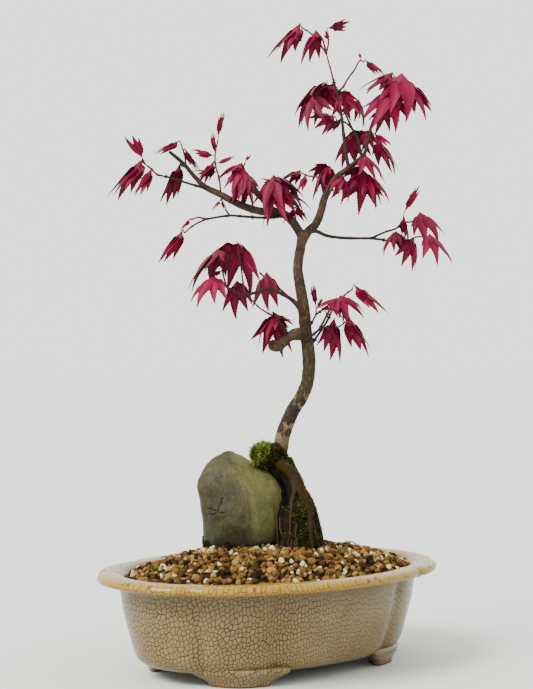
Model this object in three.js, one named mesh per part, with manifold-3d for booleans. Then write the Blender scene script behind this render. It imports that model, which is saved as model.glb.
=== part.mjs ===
// A young maple grown with its roots over a river stone, in an oval, lobed and glazed bonsai pot.
// Millimetres, +Z up. The pot's long axis is X and its front is -Y.
// The origin is on the surface that the pot stands on, under the middle of the pot.
import * as THREE from "three";
import { mergeVertices } from "three/addons/utils/BufferGeometryUtils.js";
import Module from "manifold-3d";

const wasm = await Module();
wasm.setup();

// Pot: the rolled rim is the widest part.
const rimHalfLength = 125;
const rimHalfWidth = 91;
const rimTop = 66.4;
const wallBottom = 8;
const floorTop = 14;
const ovalPower = 2.1; // a little squarer than an ellipse
const grooveReach = 2.8; // degrees over which a groove between two lobes fades
const grooveAngles = [30, 62, 118, 150, 210, 242, 298, 330];

// Feet: cloud feet under the four narrow corner lobes, wider where they meet the wall.
const footCentre = [61.7, 40.4];
const footHalfLength = 18;
const footHalfDepth = 7.5;
const footFlare = 1.65;
const footDepthFlare = 0.75; // of the flare, front to back
const footLobe = 0.06; // how far its four lobes stand out
const footSides = 12;

// Drainage holes in the floor, each under a square of plastic mesh.
const drainRadius = 11;
const drainSpacing = 90;
const screenSize = 32;
const screenThickness = 1.2;
const screenHoles = 2; // along each side
const screenHoleSize = 11;
const screenEdge = 0.25; // width of its edge strips, as a share of a hole's pitch

// Soil: a mound of coarse granules, drawn as relief on a six-sided lattice.
const soilCrown = 80;
const soilFall = 15.5;
const soilFallPower = 2.4; // how late the mound falls away
const soilSpacing = 9;
const granuleRelief = 1.5;
const granuleShift = 2; // how far a granule's place strays
const lowGranules = 0.45; // share of the granules that lie low
const roomTop = 110; // above all of the soil

// Tree: its own front is turned from the pot's front, and its lists are in that turned frame,
// with x to the right of its front, y away from it and z up.
const treeTurn = THREE.MathUtils.degToRad(-41.2);
const leafThickness = 0.7;
const lobeHalfWidth = 0.165; // of the leaf's length
const lobeWidest = 0.55; // where along a lobe
const lobeRoom = 0.46; // half-width of a lobe at most, as a share of its step round the leaf
const wideLobes = { 3: 0, 5: 1, 7: 5 }; // how many middle lobes widen before they taper
const cutDepth = 0.36; // how far out the cuts between lobes start, as a share of the leaf
const outerCut = 20; // degrees from an outer lobe to the end of the blade
const petioleRadius = 0.6;
const stalkBend = 0.9; // how far from the hub a stalk turns towards its stem
const stemRadius = 0.8;
const sevenLobedFrom = 23; // leaves this long have seven lobes
const fiveLobedFrom = 12; // and leaves this long have five

// How far a blade spreads from the line on which it hangs, in degrees: at its root when folded,
// how much more when flat, and at the tips of its lobes when flat.
const rootFolded = 18;
const rootOpening = 60;
const tipOpening = 32;

// How a leaf grows from its stem.
const growth = {
  lean: [0.12, 0.4], // to its own side of the stem
  carryOn: 0.5, // how far its stalk carries on with the stem
  lift: 0.25, // and how far it rises
  shortestStalk: 1.8,
  stalkShare: 0.16, // how much longer a stalk is, as a share of the leaf
  topLean: 1.5, // how far the blade's top turns to its side
  topLift: 0.5, // and up
  topTurn: 25, // degrees at most, either way
  openSmall: [0.1, 0.4], // how open a leaf of three lobes is where the lists don't say
  openLarge: [0.4, 0.8],
};

// Stone and moss: how far their surfaces stray from their levels.
const rockRough = 1.2;
const apronRough = 2.4;
const apronSides = 14;

const clearance = 0.35; // gap between two pieces that touch
const joinTolerance = 0.1; // below the clearance, so that simplified pieces stay apart
const up = new THREE.Vector3(0, 0, 1);

// The trunk, its limbs and twigs, and the roots that clasp the stone, as one grown piece.
// Each point is [x, y, z, radius].
const limbs = [
  // trunk, with its two bends
  { sides: 9, path: [[5, 15, 136, 5.6], [8, 14, 152, 5.3], [12, 13, 162, 5.6], [16, 12, 169, 5.2],
    [22, 10, 176.5, 4.9], [25, 8, 189, 4.7], [25, 6, 205, 4.6], [23, 5, 221, 4.3], [21.5, 3, 237, 4],
    [19.5, 2, 249, 3.6], [17.5, 1, 264, 3.3], [19.5, 0, 278, 3.2], [21, 0, 287, 3.5]] },
  // left limb
  { sides: 6, path: [[21.5, 0, 281, 2.9], [18, 1, 289, 3], [8.5, 4, 300, 2.9], [-7.5, 8, 302.5, 2.7],
    [-20.5, 12, 307, 2.5], [-35.5, 14, 315, 2.3], [-45.5, 15, 320, 2], [-52.5, 14, 327, 1.6],
    [-60, 12, 335.5, 1.4], [-69, 10, 343, 1.2]] },
  { sides: 6, path: [[7.5, 4, 300, 1.8], [-4.5, -1, 307, 1.6], [-9.5, -5, 314, 1.5], [-13.5, -8, 320, 1.5]] },
  { sides: 5, path: [[6.5, 4, 299, 1.3], [0.5, 0, 297.5, 1], [-7.5, -4, 297, 0.9], [-18, -11, 297, 0.9],
    [-27.5, -17, 297, 0.8], [-43, -24, 294, 0.7]] },
  { sides: 4, path: [[-27.5, -17, 297, 0.6], [-30.5, -18, 301, 0.6]] },
  { sides: 5, path: [[-42, 15, 318, 1], [-55, 8, 321, 0.8], [-69, 0, 324.5, 0.7], [-76, -4, 325.5, 0.6]] },
  // right limb, its leader and inner twigs
  { sides: 6, path: [[19.5, 0, 280, 2.9], [24.5, 0, 288, 2.9], [29.5, -2, 293, 2.8], [33, -5, 301.5, 2.6],
    [35, -8, 309.5, 2.5], [38.5, -10, 316, 2.3], [43, -11, 323, 2.1], [50.5, -10, 329, 1.9],
    [56.5, -8, 334, 1.6], [61.5, -5, 339, 1.4], [64, -2, 347, 1.2], [66.5, 2, 357, 1],
    [68.5, 4, 361, 0.9], [73, 5, 362.5, 0.8]] },
  { sides: 5, path: [[51, -10, 329, 1.3], [48.5, -11, 343.5, 1.1], [47, -11, 357.5, 1], [45.5, -9, 369.5, 1],
    [43, -7, 381, 0.9], [41, -6, 389, 0.8]] },
  { sides: 4, path: [[60, -6, 337.5, 1], [57, 0, 352, 0.8], [54.5, 3, 357, 0.7], [50, 8, 368, 0.6]] },
  { sides: 4, path: [[43.5, -7, 380, 0.8], [47.5, -8, 383.5, 0.7]] },
  // right side branch and its fork
  { sides: 6, path: [[25, 1, 288, 1.8], [29.5, 2, 288.5, 1.4], [37, 7, 286, 1.2], [49, 14, 285, 1.1],
    [69.5, 22, 285.5, 1]] },
  { sides: 4, path: [[68, 22, 285.5, 0.9], [78, 24, 290, 0.7], [85.5, 22, 292.5, 0.7],
    [89.5, 20, 296.5, 0.6]] },
  { sides: 4, path: [[68, 22, 285.5, 0.9], [77.5, 20, 284, 0.8], [88, 14, 281, 0.6]] },
  // left middle branch and its fork
  { sides: 6, path: [[20.5, 0, 234, 2.2], [16.5, -2, 239.5, 1.7], [11.5, -5, 243.5, 1.4], [4, -9, 247, 1.2],
    [-2.5, -12, 249, 1.2], [-12, -16, 246, 1.2], [-18, -18, 244.5, 1.1], [-24.5, -20, 246.5, 1],
    [-29.5, -22, 249.5, 0.9]] },
  { sides: 4, path: [[11.5, -5, 243.5, 1], [4, 2, 251, 0.7], [-2.5, 6, 256, 0.6], [-8, 9, 261, 0.6]] },
  // pruned stub and the twig on it
  { sides: 7, path: [[22.5, 3, 219.5, 4], [17.5, 1, 217.5, 4.1], [13, -2, 215.5, 3.8], [8, -5, 213.5, 3.6],
    [4, -8, 211.5, 3.7], [1.5, -10, 210.5, 3]] },
  { sides: 4, path: [[11, -3, 216, 1.1], [9, -5, 220, 0.8], [7, -6, 224, 0.7], [3, -7, 231.5, 0.6],
    [1, -7, 233.5, 0.6]] },
  // right lower twigs
  { sides: 5, path: [[21.5, 1, 215, 1.3], [27, -4, 218.5, 0.9], [31, -8, 222, 0.8], [33.5, -11, 226, 0.8],
    [37.5, -15, 234, 0.7]] },
  { sides: 5, path: [[23, 4, 209.5, 1.3], [27.5, 5, 213.5, 0.9], [30.5, 6, 218, 0.9], [34, 8, 223, 0.8],
    [37.5, 10, 228.5, 0.8], [41, 11, 236, 0.7]] },
  { sides: 4, path: [[21, 4, 220, 1], [26, 6, 225.5, 0.7], [30, 8, 232.5, 0.6], [36, 11, 237, 0.6]] },
  // roots, down to the soil and into it
  { sides: 7, path: [[6.5, 14, 141.5, 5.2], [12, 13, 132.5, 4.6], [17, 12, 124, 3.8], [22, 12, 115, 3.2],
    [27.5, 12, 107, 2.6], [30.5, 12, 98, 2.2], [32, 12, 88.5, 1.9], [34.5, 12, 78.5, 1.7],
    [37, 12, 67, 1.4]] },
  { sides: 5, path: [[7.5, 9, 138, 3.6], [12.5, 2, 126, 2.6], [15, -4, 115.5, 1.9], [13, -8, 106, 1.5],
    [15.5, -11, 96.5, 1.4], [13.5, -13, 86.5, 1.3], [12, -15, 69, 1.1]] },
  { sides: 5, path: [[10.5, 9, 133, 3.2], [17.5, 3, 119.5, 2.6], [23, -3, 109.5, 1.9], [25.5, -7, 99, 1.5],
    [25.5, -9, 88, 1.3], [27.5, -11, 68.5, 1.1]] },
  { sides: 4, path: [[15, -11, 97.5, 1.1], [16, -13, 88.5, 1], [15, -14, 80, 0.9], [16, -15, 70.5, 0.8]] },
  { sides: 5, path: [[11, 18, 134.5, 3.2], [18.5, 24, 120, 2.5], [25, 29, 106, 1.9], [28.5, 33, 92, 1.5],
    [30.5, 35, 78, 1.3], [32, 37, 62.5, 1.1]] },
];

// Sprays of leaves. Each is a few leafy stems: a path of [x, y, z] points, and leaves as
// [share of the path, heading, length]. A heading is in degrees in the tree's front plane,
// 0 to the right and 90 up. A fourth value is how open the leaf is, from 0, folded, to 1, flat.
// growLeaf() settles everything else by rule.
const sprays = {
  apex: [
    { path: [[41, -6, 389], [39, -4, 397.5], [36.5, -3, 407]], leaves: [] },
    { path: [[36.5, -3, 407], [34, -3, 416.5], [31, -3, 420.5]], leaves: [[1, 248, 20, 0.3]] },
    { path: [[36.5, -3, 407], [29.5, -1, 417.5], [24.5, 0, 422.5], [20.5, -1, 424.5]],
      leaves: [[1, 228, 25, 0.3]] },
    { path: [[36.5, -3, 407], [38, -3, 414.5], [37, -3, 421]], leaves: [[1, 22, 15, 0.15], [0.5, 110, 6]] },
  ],
  leader_left: [
    { path: [[43.5, -7, 378], [39.5, -3, 383], [36.5, -1, 385]],
      leaves: [[1, 238, 28, 0.9], [0.8, 281, 12]] },
    { path: [[36.5, -1, 385], [32, -5, 382.5], [28, -8, 377]], leaves: [[1, 262, 20, 0.6]] },
  ],
  inner_left: [
    { path: [[54.5, 3, 357], [49.5, 12, 363.5], [44.5, 18, 365.5]], leaves: [[1, 178, 18], [0.7, 215, 11]] },
  ],
  inner_right: [
    { path: [[50, 8, 368], [52, 10, 374.5], [55, 12, 377], [58.5, 14, 378]],
      leaves: [[0.6, 226, 10], [1, 272, 16]] },
  ],
  leader_right: [
    { path: [[44.5, -8, 375], [47, -6, 380]], leaves: [[1, 275, 16], [0.8, 250, 10]] },
  ],
  shoot: [
    { path: [[47.5, -8, 383.5], [51.5, -7, 390.5], [55.5, -5, 396], [59, -4, 402], [61.5, -4, 401]],
      leaves: [[0.8, 110, 4], [1, 322, 13, 0.1]] },
  ],
  upper_right: [
    { path: [[73, 5, 362.5], [76, 6, 369], [79, 7, 377], [81.5, 7, 384.5], [83, 6, 392.5]],
      leaves: [[1, 208, 22, 0.45], [0.65, 250, 25], [0.3, 254, 15]] },
    { path: [[81.5, 7, 384.5], [84, 6, 389], [86.5, 5, 392]], leaves: [[1, 276, 29, 0.6]] },
    { path: [[86.5, 5, 392], [90.5, 7, 391], [93, 9, 387]], leaves: [[1, 308, 18], [0.7, 280, 18]] },
  ],
  mid_right: [
    { path: [[66.5, 1, 355.5], [63, 6, 356], [59, 11, 356.5]], leaves: [[1, 270, 16], [0.3, 288, 12]] },
  ],
  mid_right_low: [
    { path: [[66.5, 1, 355.5], [69, 2, 351.5], [71, 1, 348]], leaves: [[1, 304, 20, 0.4], [0.3, 330, 11]] },
  ],
  inner_low: [
    { path: [[57, 0, 352], [55, 3, 353.5], [54, 4, 352.5]], leaves: [[1, 255, 18, 0.4]] },
  ],
  limb_right: [
    { path: [[56.5, -8, 334], [59, -11, 329], [62.5, -11, 323.5]],
      leaves: [[1, 308, 18], [0.95, 256, 21], [0.85, 284, 20], [0.45, 233, 12]] },
    { path: [[59, -11, 329], [61, -13, 335]], leaves: [[1, 300, 18, 0.6]] },
  ],
  limb_front: [
    { path: [[45, -11, 324.5], [47.5, -15, 322]], leaves: [[1, 221, 12], [0.8, 268, 14], [0.5, 230, 7]] },
  ],
  crotch: [
    { path: [[38, -10, 315], [33.5, -8, 320.5], [30, -5, 324], [24.5, 1, 325.5], [20, 5, 328]],
      leaves: [[1, 208, 13], [0.8, 252, 11]] },
    { path: [[33.5, -8, 320.5], [35.5, -4, 327], [37.5, -1, 331.5]], leaves: [[1, 225, 13], [0.9, 250, 20]] },
  ],
  centre: [
    { path: [[8.5, 4, 300], [6.5, 0, 307], [4.5, -4, 315], [2.5, -6, 322.5]],
      leaves: [[1, 256, 23, 0.6], [0.95, 312, 21], [0.7, 259, 24, 0.5], [0.6, 322, 21], [0.85, 175, 9]] },
  ],
  crotch_low: [
    { path: [[17, 2, 290.5], [16, 3, 297.5], [15, 4, 303.5]], leaves: [[1, 315, 10], [0.9, 242, 10]] },
  ],
  left_mid: [
    { path: [[-20.5, 12, 307], [-19.5, 8, 315.5], [-18.5, 5, 323], [-19, 3, 331], [-18, 2, 334]],
      leaves: [[1, 50, 5], [0.8, 214, 17], [0.7, 251, 16], [0.5, 281, 18], [0.6, 268, 18], [0.3, 231, 11]] },
  ],
  left_stub: [
    { path: [[-13.5, -8, 320], [-16, -10, 323]], leaves: [[1, 280, 11]] },
  ],
  upright: [
    { path: [[-34.5, 14, 314.5], [-35.5, 12, 325], [-38, 10, 334.5], [-38, 10, 342.5], [-36.5, 10, 349.5]],
      leaves: [[1, 78, 17, 0], [0.65, 96, 14, 0], [0.6, 165, 14, 0.1], [0.5, 236, 15, 0.2], [0.45, 20, 12, 0],
        [0.3, 176, 15, 0.1]] },
  ],
  left_under: [
    { path: [[-33.5, 13, 314.5], [-34, 9, 310]], leaves: [[1, 227, 7], [0.9, 294, 7]] },
  ],
  left_tip: [
    { path: [[-58, 13, 333], [-58.5, 11, 338.5], [-59.5, 10, 343], [-61, 9, 347.5]],
      leaves: [[1, 207, 17, 0.1], [0.7, 300, 14, 0.1]] },
  ],
  left_drop: [
    { path: [[-58, 13, 333], [-61, 16, 334]], leaves: [[1, 250, 24, 0.1]] },
  ],
  left_end: [
    { path: [[-76, -4, 325.5], [-79, -5, 328], [-81, -5, 330], [-85.5, -6, 333.5]],
      leaves: [[1, 124, 17, 0.25], [0.9, 227, 28, 0.2], [0.3, 244, 18, 0.1]] },
  ],
  lower_left: [
    { path: [[-43, -24, 294], [-48, -25, 295], [-52.5, -25, 293.5]], leaves: [[1, 228, 8]] },
    { path: [[-43, -24, 294], [-51, -24, 290], [-57, -24, 285]], leaves: [[1, 232, 21, 0.1]] },
  ],
  side_upper: [
    { path: [[89.5, 20, 296.5], [90, 19, 299]], leaves: [[1, 62, 20, 0], [0.8, 276, 14, 0.2]] },
    { path: [[89.5, 20, 296.5], [95.5, 18, 296.5], [99.5, 16, 300]], leaves: [[1, 303, 21, 0.6]] },
  ],
  side_lower: [
    { path: [[88, 14, 281], [91, 12, 281], [97.5, 7, 285], [104.5, 1, 284.5]],
      leaves: [[1, 305, 20], [0.55, 262, 18]] },
  ],
  side_inner: [
    { path: [[88, 14, 281], [85, 15, 285], [83.5, 15, 288]], leaves: [[1, 304, 14], [0.9, 252, 14]] },
  ],
  mid_left_end: [
    { path: [[-29.5, -22, 249.5], [-32, -21, 259], [-33.5, -20, 271.5]],
      leaves: [[1, 238, 28, 0.7], [0.5, 200, 8]] },
  ],
  mid_left_low: [
    { path: [[-27, -21, 248], [-32, -25, 251.5], [-36, -27, 254]], leaves: [[1, 240, 19, 0.9]] },
  ],
  mid_left_near: [
    { path: [[-25, -20, 247], [-24, -15, 251], [-23, -12, 252.5]], leaves: [[1, 262, 21, 0.5]] },
  ],
  mid_left_tall: [
    { path: [[-18, -18, 244.5], [-19.5, -18, 258], [-22, -18, 276]], leaves: [[1, 280, 29, 1]] },
  ],
  mid_left_back: [
    { path: [[-4, 7, 257.5], [-3.5, 5, 259]], leaves: [[1, 266, 22, 0.4]] },
  ],
  stub: [
    { path: [[1, -7, 233.5], [1.5, -3, 232], [2.5, 1, 231.5]],
      leaves: [[1, 273, 24], [0.9, 238, 19], [1, 330, 11]] },
    { path: [[2.5, 1, 231.5], [-1, -5, 232.5], [-8, -11, 236.5], [-13.5, -14, 242]], leaves: [] },
  ],
  right_low: [
    { path: [[41, 11, 236], [43.5, 7, 240.5], [45, 4, 243]],
      leaves: [[1, 315, 18], [0.9, 288, 16], [0.8, 213, 12], [0.5, 200, 8]] },
    { path: [[43.5, 7, 240.5], [50.5, 6, 247], [54, 6, 249.5]], leaves: [[1, 318, 24, 0.1]] },
  ],
  right_front: [
    { path: [[37.5, -15, 234], [39, -14, 237.5]], leaves: [[1, 217, 7], [0.9, 300, 9]] },
  ],
  right_inner: [
    { path: [[30, 8, 232.5], [30, 8, 235]], leaves: [[1, 98, 15, 0], [0.8, 62, 8, 0]] },
  ],
  right_drop: [
    { path: [[32.5, -10, 225], [35.5, -9, 223.5], [40.5, -7, 223], [46, -7, 225], [49.5, -8, 228]],
      leaves: [[1, 297, 24, 0.25]] },
    { path: [[40.5, -7, 223], [41.5, -7, 227.5]], leaves: [[1, 266, 23, 0.25]] },
  ],
};

// The same random draws on every run.
function seeded(seed) {
  let state = seed;
  return () => {
    state = (state * 1664525 + 1013904223) % 4294967296;
    return state / 4294967296;
  };
}

const between = ([low, high], share) => low + (high - low) * share;
const vector = ([x, y, z]) => new THREE.Vector3(x, y, z);
const radians = THREE.MathUtils.degToRad;

function geometryFrom(points, faces) {
  const geometry = new THREE.BufferGeometry();
  const positions = points.flatMap((p) => [p.x, p.y, p.z]);
  geometry.setAttribute("position", new THREE.Float32BufferAttribute(positions, 3));
  geometry.setIndex(faces.flat());
  return geometry;
}

// A closed skin through rings of equal count, with a fan over each end. Each ring runs
// anticlockwise as seen from the far end.
function loft(rings) {
  const count = rings[0].length;
  const points = rings.flat();
  const faces = [];
  for (let r = 0; r < rings.length - 1; r += 1) {
    for (let i = 0; i < count; i += 1) {
      const a = r * count + i;
      const b = r * count + ((i + 1) % count);
      faces.push([a, b, b + count], [a, b + count, a + count]);
    }
  }
  const middle = (ring) => {
    const sum = new THREE.Vector3();
    ring.forEach((p) => sum.add(p));
    return sum.divideScalar(ring.length);
  };
  const first = points.length;
  points.push(middle(rings[0]), middle(rings.at(-1)));
  const lastRing = (rings.length - 1) * count;
  for (let i = 0; i < count; i += 1) {
    const next = (i + 1) % count;
    faces.push([first, next, i], [first + 1, lastRing + i, lastRing + next]);
  }
  return geometryFrom(points, faces);
}

function solidOf(geometry) {
  const bare = geometry.clone();
  bare.deleteAttribute("normal");
  bare.deleteAttribute("uv");
  const merged = mergeVertices(bare, 1e-4);
  return new wasm.Manifold(
    new wasm.Mesh({
      numProp: 3,
      vertProperties: new Float32Array(merged.attributes.position.array),
      triVerts: new Uint32Array(merged.index.array),
    }),
  );
}

function geometryOf(solid) {
  const mesh = solid.getMesh();
  const positions = [];
  for (let v = 0; v < mesh.numVert; v += 1) {
    const at = v * mesh.numProp;
    positions.push(...mesh.vertProperties.subarray(at, at + 3));
  }
  const geometry = new THREE.BufferGeometry();
  geometry.setAttribute("position", new THREE.Float32BufferAttribute(positions, 3));
  geometry.setIndex([...mesh.triVerts]);
  return geometry;
}

const joined = (solids) => solids.reduce((whole, next) => whole.add(next));

// A join leaves slivers where surfaces cross. This drops those that matter by less than tolerance.
const tidied = (solid, tolerance) => oneBody(solid.asOriginal().simplify(tolerance));

// The largest body of a join: a hollow that the join sealed is filled, and loose scraps go.
function oneBody(solid) {
  return solid.decompose().reduce((most, next) => (next.volume() > most.volume() ? next : most));
}

// A tree piece moved into the pot's frame.
const inPotFrame = (solid) => solidOf(geometryOf(solid).rotateZ(treeTurn));

// Pot

// Angles at which the pot's oval is sampled: close together at each groove.
function ovalAngles() {
  const beside = [-7, -2.6, 0, 2.6, 7];
  const atGrooves = grooveAngles.flatMap((groove) => beside.map((step) => groove + step));
  const sideLobes = [0, 90, 180, 270].flatMap((lobe) => [-11, 0, 11].map((step) => lobe + step));
  const cornerLobes = [46, 134, 226, 314];
  return [...atGrooves, ...sideLobes, ...cornerLobes]
    .map((angle) => (angle + 360) % 360)
    .sort((a, b) => a - b);
}

const potAngles = ovalAngles();

function ovalPoint(angle, inset, height, groove) {
  const c = Math.cos(radians(angle));
  const s = Math.sin(radians(angle));
  const x = (rimHalfLength - inset) * Math.sign(c) * Math.abs(c) ** (2 / ovalPower);
  const y = (rimHalfWidth - inset) * Math.sign(s) * Math.abs(s) ** (2 / ovalPower);
  const away = Math.min(...grooveAngles.map((g) => Math.abs(((angle - g + 540) % 360) - 180)));
  const depth = groove * Math.exp(-away / grooveReach);
  const scale = 1 - depth / Math.hypot(x, y);
  return new THREE.Vector3(x * scale, y * scale, height);
}

const ovalRing = ([inset, height, groove]) =>
  potAngles.map((angle) => ovalPoint(angle, inset, height, groove));

// The pot's wall, as [inset from the rim's edge, height, groove depth]: up the outside and over the
// rim,
const potOutside = [
  [37, wallBottom, 2],
  [30.5, 8.7, 2.6],
  [25.6, 12.6, 3],
  [20.8, 27, 3],
  [17, 41, 3],
  [12.9, 58.4, 3],
  [5, 59.8, 3],
  [1, 60.9, 3],
  [0, 62.9, 3],
  [1.5, 65.2, 2.8],
  [8, rimTop, 2.4],
  [16.5, 64.6, 1.6],
];

// and down the inside to the floor.
const potInside = [
  [19, 61, 1.2],
  [28, 22, 1],
  [33, 15, 1],
  [40, floorTop, 1],
];

// Height of each ring of a foot, and how far it spreads there.
const footLevels = [
  [0, 1],
  [2, 1.03],
  [5, 1.27],
  [9, footFlare],
  [11.5, footFlare],
];

function footSolid(sideX, sideY) {
  const [centreX, centreY] = footCentre;
  const slopeX = centreX / rimHalfLength ** 2;
  const slopeY = centreY / rimHalfWidth ** 2;
  const along = Math.atan2(-sideX * slopeX, sideY * slopeY);
  const ringAt = ([height, spread]) =>
    Array.from({ length: footSides }, (_, i) => {
      const angle = (2 * Math.PI * i) / footSides;
      const lobed = 1 + footLobe * Math.cos(4 * angle);
      const deep = 1 + (spread - 1) * footDepthFlare;
      const point = new THREE.Vector3(
        footHalfLength * lobed * spread * Math.cos(angle),
        footHalfDepth * lobed * deep * Math.sin(angle),
        height,
      );
      point.applyAxisAngle(up, along);
      return point.add(new THREE.Vector3(sideX * centreX, sideY * centreY, 0));
    });
  return solidOf(loft(footLevels.map(ringAt)));
}

function boxSolid(width, depth, height, x, y, bottom) {
  const box = new THREE.BoxGeometry(width, depth, height);
  box.translate(x, y, bottom + height / 2);
  return solidOf(box);
}

function potSolid() {
  const feet = [-1, 1].flatMap((x) => [-1, 1].map((y) => footSolid(x, y)));
  const body = joined([solidOf(loft([...potOutside, ...potInside].map(ovalRing))), ...feet]);
  const drains = [-0.5, 0.5].map((side) => {
    const hole = new THREE.CylinderGeometry(drainRadius, drainRadius, 2 * (floorTop - wallBottom), 20);
    hole.rotateX(Math.PI / 2);
    hole.translate(side * drainSpacing, 0, (wallBottom + floorTop) / 2);
    return solidOf(hole);
  });
  return tidied(body.subtract(joined(drains)), joinTolerance);
}

function screenSolid(side) {
  const x = side * drainSpacing;
  const bottom = floorTop + clearance;
  const plate = boxSolid(screenSize, screenSize, screenThickness, x, 0, bottom);
  const pitch = screenSize / (screenHoles + screenEdge);
  const places = Array.from({ length: screenHoles }, (_, i) => (i - (screenHoles - 1) / 2) * pitch);
  const holes = places.flatMap((u) =>
    places.map((v) => boxSolid(screenHoleSize, screenHoleSize, floorTop, x + u, v, wallBottom)),
  );
  return plate.subtract(joined(holes));
}

// Wood, stone and moss

// The way that the first side of each shoot faces: along none of them.
const firstNormal = new THREE.Vector3(0.31, 0.92, 0.24);

// A tapering round shoot along a list of [x, y, z, radius], with cut ends.
function shoot(path, sides, stepsPerSpan, grow) {
  const curve = new THREE.CatmullRomCurve3(path.map(vector));
  const steps = (path.length - 1) * stepsPerSpan;
  const normal = firstNormal.clone();
  const rings = [];
  for (let i = 0; i <= steps; i += 1) {
    const t = i / steps;
    const centre = curve.getPoint(t);
    const tangent = curve.getTangent(t);
    if (i === 0) centre.addScaledVector(tangent, -grow);
    if (i === steps) centre.addScaledVector(tangent, grow);
    normal.addScaledVector(tangent, -normal.dot(tangent)).normalize();
    const side = new THREE.Vector3().crossVectors(tangent, normal);
    const place = t * (path.length - 1);
    const before = Math.min(Math.floor(place), path.length - 2);
    const radius = THREE.MathUtils.lerp(path[before][3], path[before + 1][3], place - before) + grow;
    rings.push(
      Array.from({ length: sides }, (_, k) => {
        const angle = (2 * Math.PI * k) / sides;
        return centre
          .clone()
          .addScaledVector(normal, radius * Math.cos(angle))
          .addScaledVector(side, radius * Math.sin(angle));
      }),
    );
  }
  return solidOf(loft(rings));
}

const woodSolid = (grow) => {
  const shoots = limbs.map(({ path, sides }) => shoot(path, sides, sides > 8 ? 2 : 1, grow));
  return tidied(joined(shoots), joinTolerance);
};

// A stone or a moss mass: each level is a height, then its left, right, front and back reach, and
// its section gives the points round it as shares of that reach.
function levelSolid(levels, section, rough, seed, grow) {
  const random = seeded(seed);
  const rings = levels.map(([height, left, right, front, back], level) => {
    let lift = 0;
    if (level === 0) lift = -grow;
    if (level === levels.length - 1) lift = grow;
    return section.map(([across, deep]) => {
      const wobble = 1 + (2 * rough * (random() - 0.5)) / (right - left);
      const halfX = ((right - left) / 2) * wobble + grow;
      const halfY = ((back - front) / 2) * wobble + grow;
      const x = (left + right) / 2 + halfX * across;
      const y = (front + back) / 2 + halfY * deep;
      return new THREE.Vector3(x, y, height + lift);
    });
  });
  return solidOf(loft(rings));
}

// The stone's section has flat faces that meet in a blunt ridge at its front.
const rockSection = [
  [1, 0], [0.93, 0.5], [0.62, 0.88], [0.1, 1], [-0.45, 0.95], [-0.84, 0.65], [-1, 0.15],
  [-0.97, -0.35], [-0.75, -0.75], [-0.3, -0.93], [0.12, -1], [0.36, -0.93], [0.62, -0.7], [0.86, -0.36],
];

const rockLevels = [
  [66, -43, 13, -11, 37],
  [74, -45, 13.5, -13, 39],
  [82, -46, 13.5, -14, 40],
  [91, -46.5, 13.5, -14.5, 40],
  [100, -48, 13.5, -13.5, 39],
  [108, -49, 13, -11.5, 37.5],
  [115, -50, 11.5, -9.5, 35.5],
  [121, -50, 7.5, -7, 33],
  [127, -48, 0, -3.5, 30],
  [132.5, -44.5, -10, 1, 26.5],
  [137, -39.5, -18.5, 6, 21.5],
  [139.5, -34, -24, 10.5, 17],
];

const apronLevels = [
  [64, -2, 37, -14, 42],
  [80, -2, 35, -15, 41],
  [88, -2, 33, -15, 40],
  [95, -2, 31, -14, 38.5],
  [103, -2, 29.5, -12.5, 37],
  [118, -2, 22, -5, 32],
  [126, -4, 18, -1, 28],
  [133, -5, 13.5, 3, 24.5],
  [139, -3, 11, 7, 21.5],
  [143, 0, 9, 9.5, 19],
];

const apronSection = Array.from({ length: apronSides }, (_, i) => {
  const angle = (2 * Math.PI * i) / apronSides;
  return [Math.cos(angle), Math.sin(angle)];
});

const rockSolid = (grow) => levelSolid(rockLevels, rockSection, rockRough, 11, grow);
const apronSolid = (grow) => levelSolid(apronLevels, apronSection, apronRough, 23, grow);

// A cushion of moss with short blunt tufts, seated on the stone's shoulder beside the trunk.
const cushionCentre = [-6, 9, 136];
const cushionReach = [9.3, 10.5, 10.6];
const tuftLength = [1.15, 1.27]; // of the cushion's reach
const betweenTufts = 0.93;

function cushionSolid() {
  const random = seeded(37);
  const ball = new THREE.IcosahedronGeometry(1, 3);
  ball.deleteAttribute("normal");
  ball.deleteAttribute("uv");
  const cushion = mergeVertices(ball, 1e-4);
  const place = cushion.attributes.position;
  for (let i = 0; i < place.count; i += 1) {
    const tuft = random() > 0.5 ? between(tuftLength, random()) : betweenTufts;
    const point = new THREE.Vector3().fromBufferAttribute(place, i).multiplyScalar(tuft);
    point.multiply(vector(cushionReach)).add(vector(cushionCentre));
    place.setXYZ(i, point.x, point.y, point.z);
  }
  return solidOf(cushion);
}

// The end of a tie wire, standing up out of the soil and bent over.
const wirePath = [
  [50, 0, 64, 0.5],
  [50.3, 0, 74, 0.5],
  [50.5, 0, 79.5, 0.5],
  [51.5, -0.3, 81, 0.5],
  [53.2, -0.8, 81.2, 0.5],
  [56, -1.6, 79.6, 0.5],
];

const wireSolid = (grow) => shoot(wirePath, 6, 1, grow);

// Leaves

// Lobes fan round the line on which the leaf hangs, as the ribs of a half-closed umbrella do:
// each is [angle round that line in degrees, share of the leaf's length].
const lobeFans = {
  3: [[-44, 0.78], [0, 1], [44, 0.78]],
  5: [[-78, 0.62], [-38, 0.9], [0, 1], [38, 0.9], [78, 0.62]],
  7: [[-106, 0.45], [-70, 0.74], [-34, 0.93], [0, 1], [34, 0.93], [70, 0.74], [106, 0.45]],
};

const bothSides = [leafThickness / 2, -leafThickness / 2];
const stalkCorners = [-120, 0, 120];
const stalkSide = 60; // lobes further round than this meet the stalk's side corners
const largestCut = 0.8; // a cut beside a longer lobe goes no further out

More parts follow.
